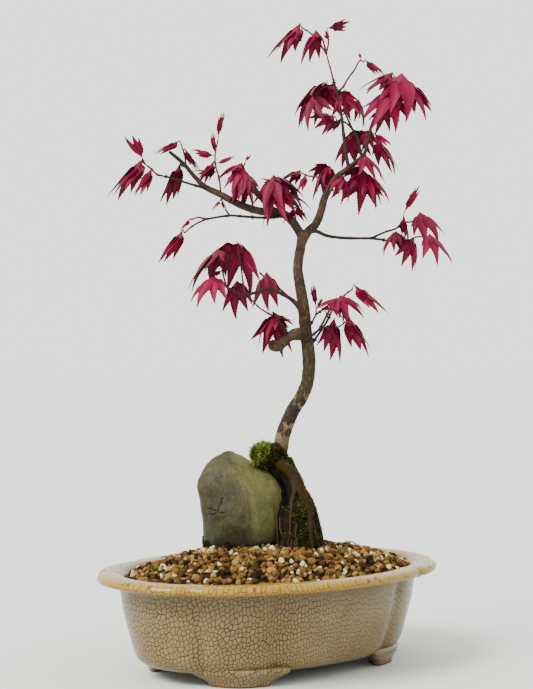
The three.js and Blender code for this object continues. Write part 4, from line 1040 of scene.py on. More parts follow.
def stoneMaterial():
    material, tree, shader = newMaterial("riverStone", Roughness=0.62, Specular_IOR_Level=0.2)
    broad = mottled(tree, 24.0, 0.2, 0.7)
    small = mottled(tree, 7.0, 0.16, 2.0)
    # Fine upright streaks, and paler, yellower stone along the crests. The face that looks right is painted
    # paler: painted light.
    streaks = streaked(tree, 0.45, 420.0, 6.0, 0.8)
    worn = spread(tree, small["Grain"], 0.3, 0.6)
    edge = sums(tree, "MULTIPLY", spread(tree, mark(tree, "crest"), 0.25, 0.95), worn)
    damp = spread(tree, broad["Mask"], 1.0, 0.3)
    stain = sums(tree, "MULTIPLY", spread(tree, small["Grain"], 0.45, 0.7), damp)
    level = sums(tree, "ADD", height(tree), spread(tree, small["Grain"], 0.0, 1.0, -6.0, 6.0))
    colour = layered(tree, blended(tree, broad["Mask"], stone["green"], stone["olive"]), [
        (spread(tree, small["Mask"], 0.0, 1.0, 0.0, 0.5), stone["grey"]),
        (spread(tree, streaks, 0.52, 0.7, 0.0, 0.35), stone["pale"]),
        (spread(tree, streaks, 0.48, 0.32, 0.0, 0.4), stone["shade"]),
        (sums(tree, "MULTIPLY", edge, 0.6), stone["pale"]),
        # Painted light on the face that looks right.
        (sums(tree, "MULTIPLY", mark(tree, "litRightFace"), 0.6), stone["litRightFace"]),
        (spread(tree, broad["Grain"], 0.5, 0.72, 0.0, 0.45), stone["shade"]),
        (spread(tree, stain, 0.0, 1.0, 0.0, 0.5), stone["shade"]),
        # Darker towards the bottom, darkest at its foot and in its cracks.
        (spread(tree, level, 84.0, 128.0, 0.4, 0.0), stone["shade"]),
        (spread(tree, level, 78.0, 90.0, 0.85, 0.0), stone["darkest"]),
        (sums(tree, "MULTIPLY", mark(tree, "crack"), 0.85), stone["darkest"])])
    tree.links.new(colour, shader.inputs["Base Color"])
    tree.links.new(spread(tree, broad["Grain"], 0.3, 0.7, 0.5, 0.75), shader.inputs["Roughness"])
    bumped(tree, shader, broad["Grain"], 0.35, 0.2)
    return material


stoneBody = settle(makeStone(stoneMaterial()), "river_stone", "rock")
print("stone made")


# Moss

moss = {
    "apronSpikes": 12000, "apronLength": (0.7, 2.0), "freshSpikes": 9000, "freshLength": (0.9, 2.6),
    "cushionSpikes": 8000, "cushionLength": (0.8, 2.6), "skirtSpikes": 3000,
    "fringeSpikes": 1500, "fringeLength": (2.2, 4.6),
    "cushionCentre": [-5, 9, 137], "cushionReach": [8.6, 10, 9],
    "skirtCentre": [2.6, 8, 138], "skirtReach": [7, 7.5, 8.5],
    # The hollow beside the stone, under the heel of the trunk, painted black as painted shade: x and z, and
    # how upright it is.
    "hollowPlace": (5, 114), "hollowTall": 1.7, "hollowSize": 8, "hollowDepth": 9, "hollowBack": 14,
    "lumps": 1.7, "bumps": 1.1, "crumbs": 0.45, "sink": 0.5,  # the muck's surface, coarse to fine
    "stray": 0.38, "rise": 0.25,  # how far its leaves stray from straight out, and lean upwards
    "soilTufts": [[-74, -50], [-58, -58], [-12, -59], [60, -43], [96, -6]],  # x, y in the tree's frame
    "tuftLeaves": 45, "tuftReach": 1.6, "tuftLength": (0.8, 1.8),
    "rootSpikes": 6000, "rootLength": (0.5, 1.3),
    "bright": "6f7d2b", "fresh": "3f4712", "deep": "121506", "brown": "1e1304", "black": "050301",
}


def addSpike(heap, root, way, length, width, tone):
    # One moss leaf: a thin spike with four corners.
    way = way / np.linalg.norm(way)
    side = np.cross(way, (0.3, 0.5, 0.81))
    side = side / np.linalg.norm(side) * width
    other = np.cross(way, side)
    base = root - way * 0.3  # a little under the skin it stands on
    corners = [base - 0.5 * side + 0.87 * sign * other for sign in (1, -1)]
    points = [base + side, *corners, root + way * length]
    heap.add(points, [(0, 2, 1), (0, 1, 3), (1, 2, 3), (2, 0, 3)], tone=tone)


def growMoss(name, body, count, lengths, tones, seed, chosen, material, widths=(0.17, 0.32)):
    # Moss leaves over a body, wherever chosen says so by place and facing.
    at, facing = scattered(body, count, seed)
    at, facing = inTreeFrame(at), inTreeFrame(facing)
    chance = np.random.default_rng(seed)
    heap = Heap("tone")
    for root, out in zip(at, facing):
        if not chosen(root, out):
            continue
        way = out + chance.normal(size=3) * moss["stray"] + np.array([0, 0, moss["rise"]])
        addSpike(heap, root, way, chance.uniform(*lengths), chance.uniform(*widths), chance.uniform(*tones))
    slot = "bright_moss" if "cushion" in name else "dark_moss"
    return settle(heap.piece(name, [material], smooth=False), slot)


def fromHollow(x, z):
    # Distance from the middle of the hollow in the front plane.
    middleX, middleZ = moss["hollowPlace"]
    return np.hypot(x - middleX, (z - middleZ) / moss["hollowTall"])


def makeApron(material):
    section = [[math.cos(i * math.pi / 8), math.sin(i * math.pi / 8)] for i in range(16)]
    heap = Heap()
    heap.add(*closedLoft(levelLoft(apronLevels, section, 170, 90)))
    body = heap.piece("moss_and_muck", [material])
    points, normals = meshPoints(body), meshNormals(body)
    own = inTreeFrame(points)
    push = moss["lumps"] * roughness(own, 9.0, 8) + moss["bumps"] * roughness(own, 4.0, 9)
    push += moss["crumbs"] * roughness(own, 1.6, 10)
    away = fromHollow(own[:, 0], own[:, 2])
    hollow = np.exp(-(away / moss["hollowSize"]) ** 2) * (own[:, 1] < moss["hollowBack"])
    push -= moss["hollowDepth"] * hollow
    setPoints(body, points + normals * (push[:, None] - moss["sink"]))
    setMark(body.data, "hollow", hollow)
    return body


def makeCushion(name, centre, size, material):
    heap = Heap()
    rows, columns = 40, 80
    rings = []
    turns = [2 * math.pi * i / columns for i in range(columns)]
    for row in range(1, rows):
        tilt = math.pi * row / rows
        wide = math.sin(tilt)
        rings.append([(wide * math.cos(turn), wide * math.sin(turn), -math.cos(tilt)) for turn in turns])
    points, faces = closedLoft(rings)
    points = np.array(points)
    lumpy = 0.9 + 0.42 * roughness(points, 0.6, 12) + 0.16 * roughness(points, 0.22, 13)
    heap.add(points * lumpy[:, None] * np.array(size) + np.array(centre), faces)
    return heap.piece(name, [material])


def mossMaterial(name, stops):
    material, tree, shader = newMaterial(name, Roughness=0.85, Specular_IOR_Level=0.1)
    patches = mottled(tree, 6.0, 0.2, 0.8)
    shade = sums(tree, "ADD", mark(tree, "tone"), spread(tree, patches["Mask"], 0.0, 1.0, -0.25, 0.25))
    tree.links.new(ramp(tree, shade, stops), shader.inputs["Base Color"])
    bumped(tree, shader, patches["Grain"], 0.6, 0.4)
    return material


def muckMaterial():
    material, tree, shader = newMaterial("mossAndMuck", Roughness=0.9, Specular_IOR_Level=0.1)
    patches = mottled(tree, 8.0, 0.14, 0.8)
    colour = layered(tree, blended(tree, patches["Mask"], moss["brown"], moss["deep"]), [
        (spread(tree, patches["Grain"], 0.4, 0.7, 0.0, 0.6), moss["black"]),
        # The hollow is painted black: painted shade in the recess.
        (spread(tree, mark(tree, "hollow"), 0.2, 0.6), moss["black"])])
    tree.links.new(colour, shader.inputs["Base Color"])
    bumped(tree, shader, patches["Grain"], 0.8, 0.6)
    return material


muck = muckMaterial()
apron = settle(makeApron(muck), "dark_moss", "moss_apron")
cushion = makeCushion("moss_cushion_body", moss["cushionCentre"], moss["cushionReach"], muck)
settle(cushion, "bright_moss", "moss_cushion")
skirt = settle(makeCushion("moss_skirt_body", moss["skirtCentre"], moss["skirtReach"], muck), "bright_moss")
brightMoss = mossMaterial("brightMoss", [(0.0, moss["deep"]), (0.4, moss["fresh"]), (0.85, moss["bright"])])
darkMoss = mossMaterial("darkMoss", [(0.0, moss["brown"]), (0.35, moss["deep"]), (0.9, moss["fresh"])])


def tufted(root, out):
    # The cushion's leaves stand in tufts with dark gaps between them. The tufts thin out towards the right,
    # so that side is darker: painted shade.
    tuft = noise.noise(Vector(root) / 2.6)
    return out[2] > -0.6 and tuft > -0.12 + 0.02 * (root[0] + 5)


def sunny(root):
    # The upper left side of the cushion, where the light falls: its leaves are painted brighter as painted
    # light, and the rest darker as painted shade.
    return root[0] - 0.6 * (root[2] - 137) < -4 + 3 * noise.noise(Vector(root) / 3)


def fringed(root, out):
    # Longer leaves stand on the cushion's left side and on its top, in the brightest tones as painted light.
    return out[0] + 0.4 * out[2] < 0.25 and out[2] > -0.2 or out[2] > 0.8


# Painted light on the cushion's upper left side and painted shade on the rest.
growMoss("moss_cushion_leaves", cushion, moss["cushionSpikes"], moss["cushionLength"], (0.0, 0.85), 41,
         lambda root, out: tufted(root, out) and sunny(root), brightMoss)
growMoss("moss_cushion_shade", cushion, moss["cushionSpikes"], moss["cushionLength"], (0.0, 0.8), 48,
         lambda root, out: tufted(root, out) and not sunny(root), darkMoss)
footFrom, footTo = stone["footLevels"]
growMoss("stone_foot_leaves", stoneBody, stone["footSpikes"], stone["footLength"], (0.0, 0.6), 49,
         lambda root, out: footFrom < root[2] < footTo + 4 * noise.noise(Vector(root) / 7), darkMoss)
growMoss("moss_cushion_fringe", cushion, moss["fringeSpikes"], moss["fringeLength"], (0.5, 1.0), 46,
         fringed, brightMoss, widths=(0.3, 0.55))
growMoss("moss_skirt_leaves", skirt, moss["skirtSpikes"], moss["apronLength"], (0.1, 1.0), 42,
         lambda root, out: noise.noise(Vector(root) / 3.1) > 0.0, darkMoss)


def mossy(root, out):
    # Moss keeps to patches, thickens towards the right, and stays out of the hollow.
    patch = noise.noise(Vector(root) / 9) + 0.25 * noise.noise(Vector(root) / 3.5)
    inHollow = fromHollow(root[0], root[2]) < moss["hollowSize"] and root[1] < moss["hollowBack"]
    return root[2] > 77 and patch > -0.06 - 0.006 * (root[0] - 12) and not inHollow


def brightPatch(root, out):
    # Fresh moss keeps to patches too, mostly low on the right.
    patch = noise.noise(Vector(root) / 5.5 + Vector((3, 1, 2)))
    return root[2] > 78 and patch > 0.16 - 0.006 * (root[0] - 14) + 0.008 * max(root[2] - 100, 0)


growMoss("moss_apron_leaves", apron, moss["apronSpikes"], moss["apronLength"], (0.0, 0.9), 43,
         mossy, darkMoss)
growMoss("moss_apron_fresh", apron, moss["freshSpikes"], moss["freshLength"], (0.1, 0.85), 45,
         brightPatch, brightMoss)


def makeSoilTufts(material):
    # Small tufts of moss that have settled on the soil.
    chance = np.random.default_rng(47)
    heap = Heap("tone")
    for x, y in moss["soilTufts"]:
        middle = inPotFrame([[x, y, 0]])[0]
        for _ in range(moss["tuftLeaves"]):
            atX, atY = middle[:2] + chance.normal(size=2) * moss["tuftReach"]
            own = inTreeFrame([[atX, atY, soilHeight(atX, atY)[0] + 0.2]])[0]
            way = chance.normal(size=3) * 0.5 + np.array([0, 0, 1])
            addSpike(heap, own, way, chance.uniform(*moss["tuftLength"]), 0.25, chance.uniform(0.2, 0.9))
    return heap.piece("soil_moss", [material], smooth=False)


settle(makeSoilTufts(brightMoss), "bright_moss")
print("moss made")


# Wood

wood = {
    "thickFrom": 1.7,  # limbs with at least this radius are blended into one skin
    "voxel": 0.5,
    "ridges": 0.16, "knobs": 0.22, "rings": 0.07,
    "budEvery": 9.5, "budSwell": 0.35,
    "scarPlace": [-0.6, -13.2, 214.2],
    "lipRise": 0.5, "lipReach": 3.2, "scarDepth": 1.8, "scarReach": 2.1,
    "strands": 9, "strandAngles": (-2.5, 0.9), "strandTop": (90, 116), "strandFoot": 76,
    "strandRadii": [0.25, 0.5, 0.55, 0.5, 0.45, 0.4, 0.35], "strandReach": 1.01,
    "grey": "48362e", "brown": "2c2018", "olive": "3a3423", "twig": "2e231d", "purple": "2f2423",
    "buff": "74654a", "scar": "2e100e", "root": "2f1e0c", "rootMoss": "1e1c05", "strand": "3e2815",
}


def limbLists(thick):
    # Points and radii of the thick limbs, or of the twigs and thin roots.
    for limb in limbs:
        radii = [p[3] for p in limb]
        if (max(radii) >= wood["thickFrom"]) == thick:
            yield [Vector(p[:3]) for p in limb], radii


def blendedWood(material):
    # The thick limbs and roots, blended into one smooth skin, with bark worked into it.
    heap = Heap()
    samples = []
    for points, radii in limbLists(thick=True):
        tube(heap, points, radii, sides=20, step=1.1)
        samples += [(pathPoint(points, i / 40), pathRadius(radii, i / 40)) for i in range(41)]
    body = heap.piece("trunk_and_roots", [material])
    skin = body.modifiers.new("skin", "REMESH")
    skin.mode = "VOXEL"
    skin.voxel_size = wood["voxel"] * mm
    finishMesh(body)
    soften = body.modifiers.new("soften", "SMOOTH")
    soften.factor = 0.5
    soften.iterations = 5
    finishMesh(body)
    body.data.materials.clear()
    body.data.materials.append(material)
    body.data.polygons.foreach_set("use_smooth", [True] * len(body.data.polygons))
    tree = kdtree.KDTree(len(samples))
    for i, (at, _) in enumerate(samples):
        tree.insert(at, i)
    tree.balance()
    points = meshPoints(body)
    own = inTreeFrame(points)
    girth = np.array([samples[tree.find(Vector(p))[1]][1] for p in own])
    stretched = own * np.array([1, 1, 0.22])
    push = wood["ridges"] * roughness(stretched, 0.9, 21) * np.clip(girth / 3, 0.2, 1.2)
    push += wood["knobs"] * roughness(own, 3.4, 22) * np.clip(girth / 3, 0.2, 1.3)
    rings = np.sin(own[:, 2] * 1.15 + 2.2 * roughness(own, 14.0, 24))
    push += wood["rings"] * np.clip(rings, 0.6, 1) * (girth > 2)
    # The stub's end is a healed hollow with a lip.
    fromScar = np.linalg.norm(own - np.array(wood["scarPlace"]), axis=1)
    push += wood["lipRise"] * np.exp(-((fromScar - wood["lipReach"]) / 0.9) ** 2)
    push -= wood["scarDepth"] * np.exp(-(fromScar / wood["scarReach"]) ** 2)
    setPoints(body, points + meshNormals(body) * push[:, None])
    setMark(body.data, "girth", girth)
    setMark(body.data, "scar", np.clip(1.7 - fromScar / 3, 0, 1))
    return body


def nodeSwell(share, length):
    # A twig or stem is a little thicker at each pair of buds.
    place = share * length / wood["budEvery"]
    return 1 + wood["budSwell"] * math.exp(-((place - round(place)) * wood["budEvery"] / 0.7) ** 2)


def addBuds(heap, points, radii, chance):
    # A pair of small pointed buds at each node of a twig.
    length = sum((b - a).length for a, b in zip(points, points[1:]))
    for k in range(1, int(length / wood["budEvery"]) + 1):
        share = k * wood["budEvery"] / length
        if share > 0.97:
            break
        tangent = pathTangent(points, share)
        side = tangent.orthogonal().normalized()
        side.rotate(Matrix.Rotation(chance.uniform(0, math.tau), 3, tangent))
        radius = pathRadius(radii, share)
        for sign in (-1, 1):
            at = pathPoint(points, share) + side * sign * radius * 0.7
            way = (tangent + side * sign * 0.8).normalized()
            tube(heap, [at, at + way * 0.9, at + way * 1.7], [0.42, 0.5, 0.12], sides=6, step=0.6, girth=0.5)


def makeTwigs(material):
    heap = Heap("girth")
    chance = random.Random(31)
    for points, radii in limbLists(thick=False):
        tube(heap, points, radii, sides=10, step=0.8, swell=nodeSwell, girth=sum(radii) / len(radii))
        if points[0].z > 150:  # above the roots
            addBuds(heap, points, radii, chance)
    return heap.piece("twigs", [material])


def makeStrands(material):
    # Fine roots that run down over the moss to the soil.
    heap = Heap("girth")
    chance = random.Random(33)
    last = len(wood["strandRadii"]) - 1
    for k in range(wood["strands"]):
        angle = between(*wood["strandAngles"], k / (wood["strands"] - 1)) + chance.uniform(-0.2, 0.2)
        top = chance.uniform(*wood["strandTop"])
        points = []
        for step in range(last + 1):
            level = between(top, wood["strandFoot"], step / last)
            left, right, front, back = reachAt(apronLevels, level)
            angle += chance.uniform(-0.09, 0.09)
            reach = wood["strandReach"] + chance.uniform(-0.02, 0.03)
            points.append(Vector((
                (left + right) / 2 + (right - left) / 2 * math.cos(angle) * reach,
                (front + back) / 2 + (back - front) / 2 * math.sin(angle) * reach, level)))
        tube(heap, points, wood["strandRadii"], sides=7, step=0.9, girth=1.0)
    return heap.piece("fine_roots", [material])


def barkMaterial():
    material, tree, shader = newMaterial("bark", Roughness=0.85, Specular_IOR_Level=0.08)
    broad = mottled(tree, 13.0, 0.12, 0.9)
    small = mottled(tree, 3.5, 0.2, 0.4)
    level = sums(tree, "ADD", height(tree), spread(tree, broad["Grain"], 0.3, 0.7, -4.0, 4.0))
    # Dark blotches with buff cracks between them, above the buff foot.
    cracked = spread(tree, mottled(tree, 10.0, 0.3, 5.5)["Grain"], 0.53, 0.58)
    # Pale and dark scratches along the trunk.
    scratches = streaked(tree, 0.3, 900.0, 4.0)
    spots = spread(tree, small["Grain"], 0.5, 0.6, 0.0, 0.7)
    bark = layered(tree, blended(tree, broad["Mask"], wood["brown"], wood["grey"]), [
        (spread(tree, level, 180.0, 225.0, 1.0, 0.0), wood["olive"]),
        (spread(tree, small["Mask"], 0.0, 1.0, 0.0, 0.3), wood["olive"]),
        (spread(tree, level, 181.0, 175.0), blended(tree, cracked, wood["purple"], wood["buff"])),
        (spread(tree, scratches, 0.56, 0.7, 0.0, 0.5), wood["buff"]),
        (spread(tree, scratches, 0.44, 0.32, 0.0, 0.6), wood["brown"]),
        (spread(tree, small["Grain"], 0.52, 0.66, 0.0, 0.55), wood["brown"]),
        (spread(tree, level, 151.5, 149.0), wood["buff"]),
        (sums(tree, "MULTIPLY", spread(tree, level, 180.0, 165.0), spots), wood["brown"]),
        (spread(tree, level, 150.0, 136.0), blended(tree, small["Mask"], wood["root"], wood["rootMoss"])),
        (spread(tree, mark(tree, "girth"), 2.4, 1.0), wood["twig"]),
        (mark(tree, "scar"), wood["scar"])])
    tree.links.new(bark, shader.inputs["Base Color"])
    bumped(tree, shader, small["Grain"], 0.5, 0.2)
    return material


def mossyRoot(root, out):
    # Dark moss keeps to the roots, mostly on their upper sides.
    return 80 < root[2] < 143 and noise.noise(Vector(root) / 5) > 0.05 - 0.3 * out[2]


def freshRoot(root, out):
    # Fresh moss keeps to the upper and right sides of the higher roots.
    return 98 < root[2] < 140 and out[0] + out[2] > 0.4 and noise.noise(Vector(root) / 4) > -0.1


bark = barkMaterial()
trunk = settle(blendedWood(bark), "bark", "trunk")
growMoss("root_moss_leaves", trunk, moss["rootSpikes"], moss["rootLength"], (0.0, 0.8), 44,
         mossyRoot, darkMoss)
growMoss("root_moss_fresh", trunk, moss["rootSpikes"], moss["rootLength"], (0.1, 0.8), 50,
         freshRoot, brightMoss)
settle(makeTwigs(bark), "bark")
rootBark = twoToned("rootStrands", (wood["root"], wood["strand"]), (5.0, 0.2, 0.6), (0.5, 0.2),
                    Roughness=0.8, Specular_IOR_Level=0.2)
settle(makeStrands(rootBark), "bark")
print("wood made")


# Leaves

leaf = {
    "hubShare": 0.28,  # how long its stalk is, beside the solids' one
    "hubRise": 0.14,  # how far its blade then starts above the stalk's end, of the leaf's length
    "lobeHalfWidth": (0.1, 0.145), "fullSize": 26,  # of the length of a small leaf, and of a full-sized one
    "lobeLengths": (0.86, 1.06), "lobeWidths": (0.88, 1.1),  # how they vary
    "lobeRoom": 1.15,  # of the room beside a lobe
    "widestAt": 0.5, "cutDepth": 0.24, "outerCut": 20,
    "thickness": 0.2, "wave": 0.16,
    "tooth": 0.07,  # of a lobe's half-width
    "toothLean": 0.35,  # how far a tooth points forward, of the space between teeth
    "fold": 0.26,  # how far its margins turn down
    "twist": 11,  # degrees by which a lobe's tip strays
    "curl": 0.07,  # of a lobe's length, by which its tip bends in or out
    "droop": 0.34,  # how much closer its outermost lobes hang than its middle one
    "stalk": 0.42, "stalkBend": 0.35, "stem": 0.62,
    "deep": "54001d", "bright": "74002c", "dark": "2c000c", "vein": "7e1034",
    "stalkRed": "5a0a1c", "stalkBrown": "341414",
}

lobeFans = {
    3: [[-44, 0.78], [0, 1], [44, 0.78]],
    5: [[-78, 0.62], [-38, 0.9], [0, 1], [38, 0.9], [78, 0.62]],
    7: [[-106, 0.45], [-70, 0.74], [-34, 0.93], [0, 1], [34, 0.93], [70, 0.74], [106, 0.45]],
}

# How a leaf grows from its stem, as in the solids.
growth = {
    "lean": (0.12, 0.4), "carryOn": 0.5, "lift": 0.25, "shortestStalk": 1.8, "stalkShare": 0.16,
    "topLean": 1.5, "topLift": 0.5, "topTurn": 25, "openSmall": (0.1, 0.4), "openLarge": (0.4, 0.8),
    "smallUnder": 12, "rootFolded": 18, "rootOpening": 60, "tipOpening": 32,
    # These differ from the solids: more lobes, a little wider open.
    "fiveLobedFrom": 8, "sevenLobedFrom": 11, "openMore": 1.5, "openMost": 1.15,
}


def growLeaf(path, order, draw, share, heading, length, openness=None):
    root, onward = pathPoint(path, share), pathTangent(path, share)
    firstSide = -1 if path[-1].y < path[0].y else 1
    lean = (-firstSide if order % 2 else firstSide) * between(*growth["lean"], draw())
    hang = Vector((math.cos(math.radians(heading)), lean, math.sin(math.radians(heading))))
    reach = length * hang.length
    hang.normalize()
    stalk = (hang + onward * growth["carryOn"] + Vector((0, 0, growth["lift"]))).normalized()
    base = root + stalk * (growth["shortestStalk"] + growth["stalkShare"] * length)
    front = Vector((stalk.x, stalk.y + growth["topLean"] * lean, growth["topLift"]))
    front.rotate(Matrix.Rotation(math.radians(growth["topTurn"] * (2 * draw() - 1)), 3, "Z"))
    # The blade starts nearer its stem than in the solids, and higher, and ends at the same place.
    end = base + hang * reach
    base = root.lerp(base, leaf["hubShare"])
    base.z += leaf["hubRise"] * length
    reach = (end - base).length
    hang = (end - base).normalized()
    front = (front - hang * front.dot(hang)).normalized()
    lobes = 3 + 2 * (length >= growth["fiveLobedFrom"]) + 2 * (length >= growth["sevenLobedFrom"])
    drawnOpen = between(*growth["openSmall" if length < growth["smallUnder"] else "openLarge"], draw())
    opening = min(growth["openMore"] * (drawnOpen if openness is None else openness), growth["openMost"])
    rootSpread = math.radians(growth["rootFolded"] + growth["rootOpening"] * opening)
    bend = math.radians(growth["tipOpening"] * opening) - rootSpread
    along = (math.sin(rootSpread + bend) - math.sin(rootSpread)) / bend
    out = (math.cos(rootSpread) - math.cos(rootSpread + bend)) / bend
    # The blade turns back so that its middle lobe's tip lies where the heading and length say.
    turnBack = Matrix.Rotation(math.atan2(out, along), 3, front.cross(hang))
    return {
        "root": root, "base": base, "hang": turnBack @ hang, "front": turnBack @ front, "lobes": lobes,
        "rootSpread": rootSpread, "bend": bend, "length": reach / math.hypot(out, along),
    }


def lobeWidth(t):
    # Half-width of a lobe from its cut, 0, to its long tip, 1.
    widest = 0.22
    if t < widest:
        return 0.8 + 0.2 * math.sin(math.pi / 2 * t / widest)
    return (1 - t) / (1 - widest)


def addBlade(heap, grown, chance):
    hang, front = grown["hang"], grown["front"]
    across = hang.cross(front)
    rootSpread, bend, length = grown["rootSpread"], grown["bend"], grown["length"]
    fan = lobeFans[grown["lobes"]]
    step = math.radians(fan[1][0] - fan[0][0])
    tone = chance.random()
    points, undersides, ribs, alongs = [], [], [], []

    def pin(angle, distance, sideways=0.0, lift=0.0, rib=0.0):
        # Keeps a point of the blade, on its upper and lower side.
        turn = math.radians(angle)
        droop = 1 - leaf["droop"] * abs(angle) / lobeFans[7][-1][0]
        spreadRoot, spreadHere = rootSpread * droop, (rootSpread + bend * distance / length) * droop
        out = front * math.cos(turn) + across * math.sin(turn)
        arm = length / (bend * droop)
        at = grown["base"] + hang * arm * (math.sin(spreadHere) - math.sin(spreadRoot))
        at += out * arm * (math.cos(spreadRoot) - math.cos(spreadHere)) + hang.cross(out) * sideways
        normal = out * math.cos(spreadHere) - hang * math.sin(spreadHere)
        points.append(at + normal * (lift + leaf["thickness"] / 2))
        undersides.append(at + normal * (lift - leaf["thickness"] / 2))
        ribs.append(rib)
        alongs.append(distance)
        return len(points) - 1

    hub = pin(0, 0, rib=1.0)
    cuts = []
    for i in range(len(fan) + 1):
        if 0 < i < len(fan):
            angle = (fan[i - 1][0] + fan[i][0]) / 2
        else:
            angle = fan[-1][0] + leaf["outerCut"] if i else fan[0][0] - leaf["outerCut"]
        size = fan[min(i, len(fan) - 1)][1]
        reach = leaf["cutDepth"] * min(size, 0.8) * length
        cuts.append((reach, [pin(angle, reach * k / 3, lift=-0.08 * k) for k in (1, 2, 3)]))
    faces, rim = [], [hub]
    for i, (angle, size) in enumerate(fan):
        lobe = length * size * (chance.uniform(*leaf["lobeLengths"]) if angle else 1)
        start = (cuts[i][0] + cuts[i + 1][0]) / 2
        widest = rootSpread + bend * leaf["widestAt"] * size
        room = (length / bend) * (math.cos(rootSpread) - math.cos(widest))
        wide = between(*leaf["lobeHalfWidth"], min(length / leaf["fullSize"], 1))
        half = min(wide * length * math.sqrt(size), leaf["lobeRoom"] * step * room)
        half *= chance.uniform(*leaf["lobeWidths"])
        sway = chance.uniform(-1, 1) * leaf["twist"]
        curl = chance.uniform(-1, 1) * leaf["curl"] * lobe
        phase = chance.uniform(0, math.tau)
        stations = 6 + 2 * round(lobe / 3.4)
        middle = [hub] + [pin(angle, start * k / 3, rib=1.0) for k in (1, 2, 3)]
        sides = [[hub] + cuts[i][1], [hub] + cuts[i + 1][1]]
        for j in range(1, stations):
            t = j / stations
            distance = between(start, lobe, t)
            heading = angle + sway * t * t
            wave = curl * t * t + leaf["wave"] * math.sin(phase + 9 * t)
            middle.append(pin(heading, distance, lift=wave, rib=1.0))
            width = half * lobeWidth(t)
            toothed = width * (1 + (leaf["tooth"] if j % 2 == 0 else -0.5 * leaf["tooth"])) + 0.05
            forward = leaf["toothLean"] * lobe / stations if j % 2 == 0 else 0
            edge = wave - leaf["fold"] * width
            sides[0].append(pin(heading, distance + forward, -toothed, edge))
            sides[1].append(pin(heading, distance + forward, toothed, edge))
        tip = pin(angle + sway, lobe, lift=curl, rib=0.6)
        for line in (middle, *sides):
            line.append(tip)
        last = len(middle) - 2
        for k in range(last + 1):
            corners = [(sides[0][k], middle[k], middle[k + 1], sides[0][k + 1]),
                       (middle[k], sides[1][k], sides[1][k + 1], middle[k + 1])]
            for face in corners:
                kept = tuple(dict.fromkeys(face))
                if len(kept) > 2:
                    faces.append(kept)
        left, right = sides
        rim += (left[1:] if i == 0 else left[4:]) + right[-2:2:-1]
    rim += cuts[-1][1][-2::-1]
    count = len(points)
    solid = [tuple(reversed(face)) for face in faces] + [tuple(i + count for i in face) for face in faces]
    for a, b in zip(rim, rim[1:] + rim[:1]):
        solid.append((a, b, b + count, a + count))
    heap.add(points + undersides, solid, rib=ribs * 2, along=alongs * 2, tone=tone)


def addStalk(heap, grown):
    # The stalk swells where it leaves the stem, and bends into the blade.
    bendPoint = grown["base"] + (grown["front"] - grown["hang"]) * leaf["stalkBend"]
    ends = [grown["root"], grown["root"].lerp(bendPoint, 0.5), bendPoint, grown["base"] + grown["hang"] * 0.9]
    radius = leaf["stalk"]
    tube(heap, ends, [radius * 1.5, radius * 0.8, radius * 0.8, radius * 0.75], sides=7, step=0.9, slot=1)


def makeSpray(name, stems, seed, materials):
    draw = seeded(seed)
    chance = random.Random(seed)
    heap = Heap("rib", "along", "tone")
    for points, leaves in stems:
        path = [Vector(p) for p in points]
        for order, wanted in enumerate(leaves):
            grown = growLeaf(path, order, draw, *wanted)
            addBlade(heap, grown, chance)
            addStalk(heap, grown)
        thick, thin = leaf["stem"] * 1.15, leaf["stem"] * 0.8
        taper = [between(thick, thin, i / (len(path) - 1)) for i in range(len(path))]
        tube(heap, path, taper, sides=8, step=0.8, slot=1, swell=nodeSwell)
    return heap.piece("leaves_" + name, materials)


def leafMaterial():
    material, tree, shader = newMaterial("leafRed", Roughness=0.5, Specular_IOR_Level=0.14)
    patches = mottled(tree, 9.0, 0.2, 0.6)
    rib = mark(tree, "rib")
    # Side veins slant forward from the midrib.
    aside = sums(tree, "MULTIPLY", sums(tree, "SUBTRACT", 1.0, rib), 1.6)
    slant = sums(tree, "SUBTRACT", mark(tree, "along"), aside)
    veins = sums(tree, "ABSOLUTE", sums(tree, "SINE", sums(tree, "MULTIPLY", slant, 2.2), 0.0), 0.0)
    veinShare = spread(tree, veins, 0.16, 0.0, 0.0, 0.08)
    midrib = spread(tree, rib, 0.84, 0.95, 0.0, 0.35)
    red = layered(tree, blended(tree, mark(tree, "tone"), leaf["deep"], leaf["bright"]), [
        (spread(tree, patches["Mask"], 0.0, 1.0, 0.0, 0.3), leaf["dark"]),
        (sums(tree, "MAXIMUM", midrib, veinShare), leaf["vein"])])
    tree.links.new(red, shader.inputs["Base Color"])
    tree.links.new(spread(tree, patches["Grain"], 0.3, 0.7, 0.42, 0.6), shader.inputs["Roughness"])
    relief = sums(tree, "SUBTRACT", spread(tree, veins, 0.0, 0.5), midrib)
    bumped(tree, shader, relief, 0.2, 0.08)
    return material


leafMaterials = [leafMaterial(), twoToned(
    "leafStalks", (leaf["stalkRed"], leaf["stalkBrown"]), (10.0, 0.2, 0.6), (0.3, 0.1),
    Roughness=0.5, Specular_IOR_Level=0.2)]
for i, (name, stems) in enumerate(sprays.items()):
    settle(makeSpray(name, stems, 101 + i, leafMaterials), "leaves", "spray_" + name)
print("leaves made")


# Wire and mesh

fittings = {
    "wire": [[50, 0, 66], [50.3, 0, 74], [50.5, 0, 79.5], [51.5, -0.3, 81], [53.2, -0.8, 81.2],
             [56, -1.6, 79.6]],
    "wireRadius": 0.45, "wireTones": ("7c756b", "5c4a3c"),
    "screenSize": 32, "screenCells": 10, "strand": 0.55, "screenLevel": 14.95,
    "strandInset": 0.6, "weave": 0.18,  # from the edge to the last strand, and how far one rises and dips
    "plasticTones": ("23251f", "191a17"),
}


def makeWire(material):
    heap = Heap()
    path = [Vector(p) for p in fittings["wire"]]
    tube(heap, path, [fittings["wireRadius"]] * len(path), sides=12, step=0.4)
    return heap.piece("wire_end", [material])


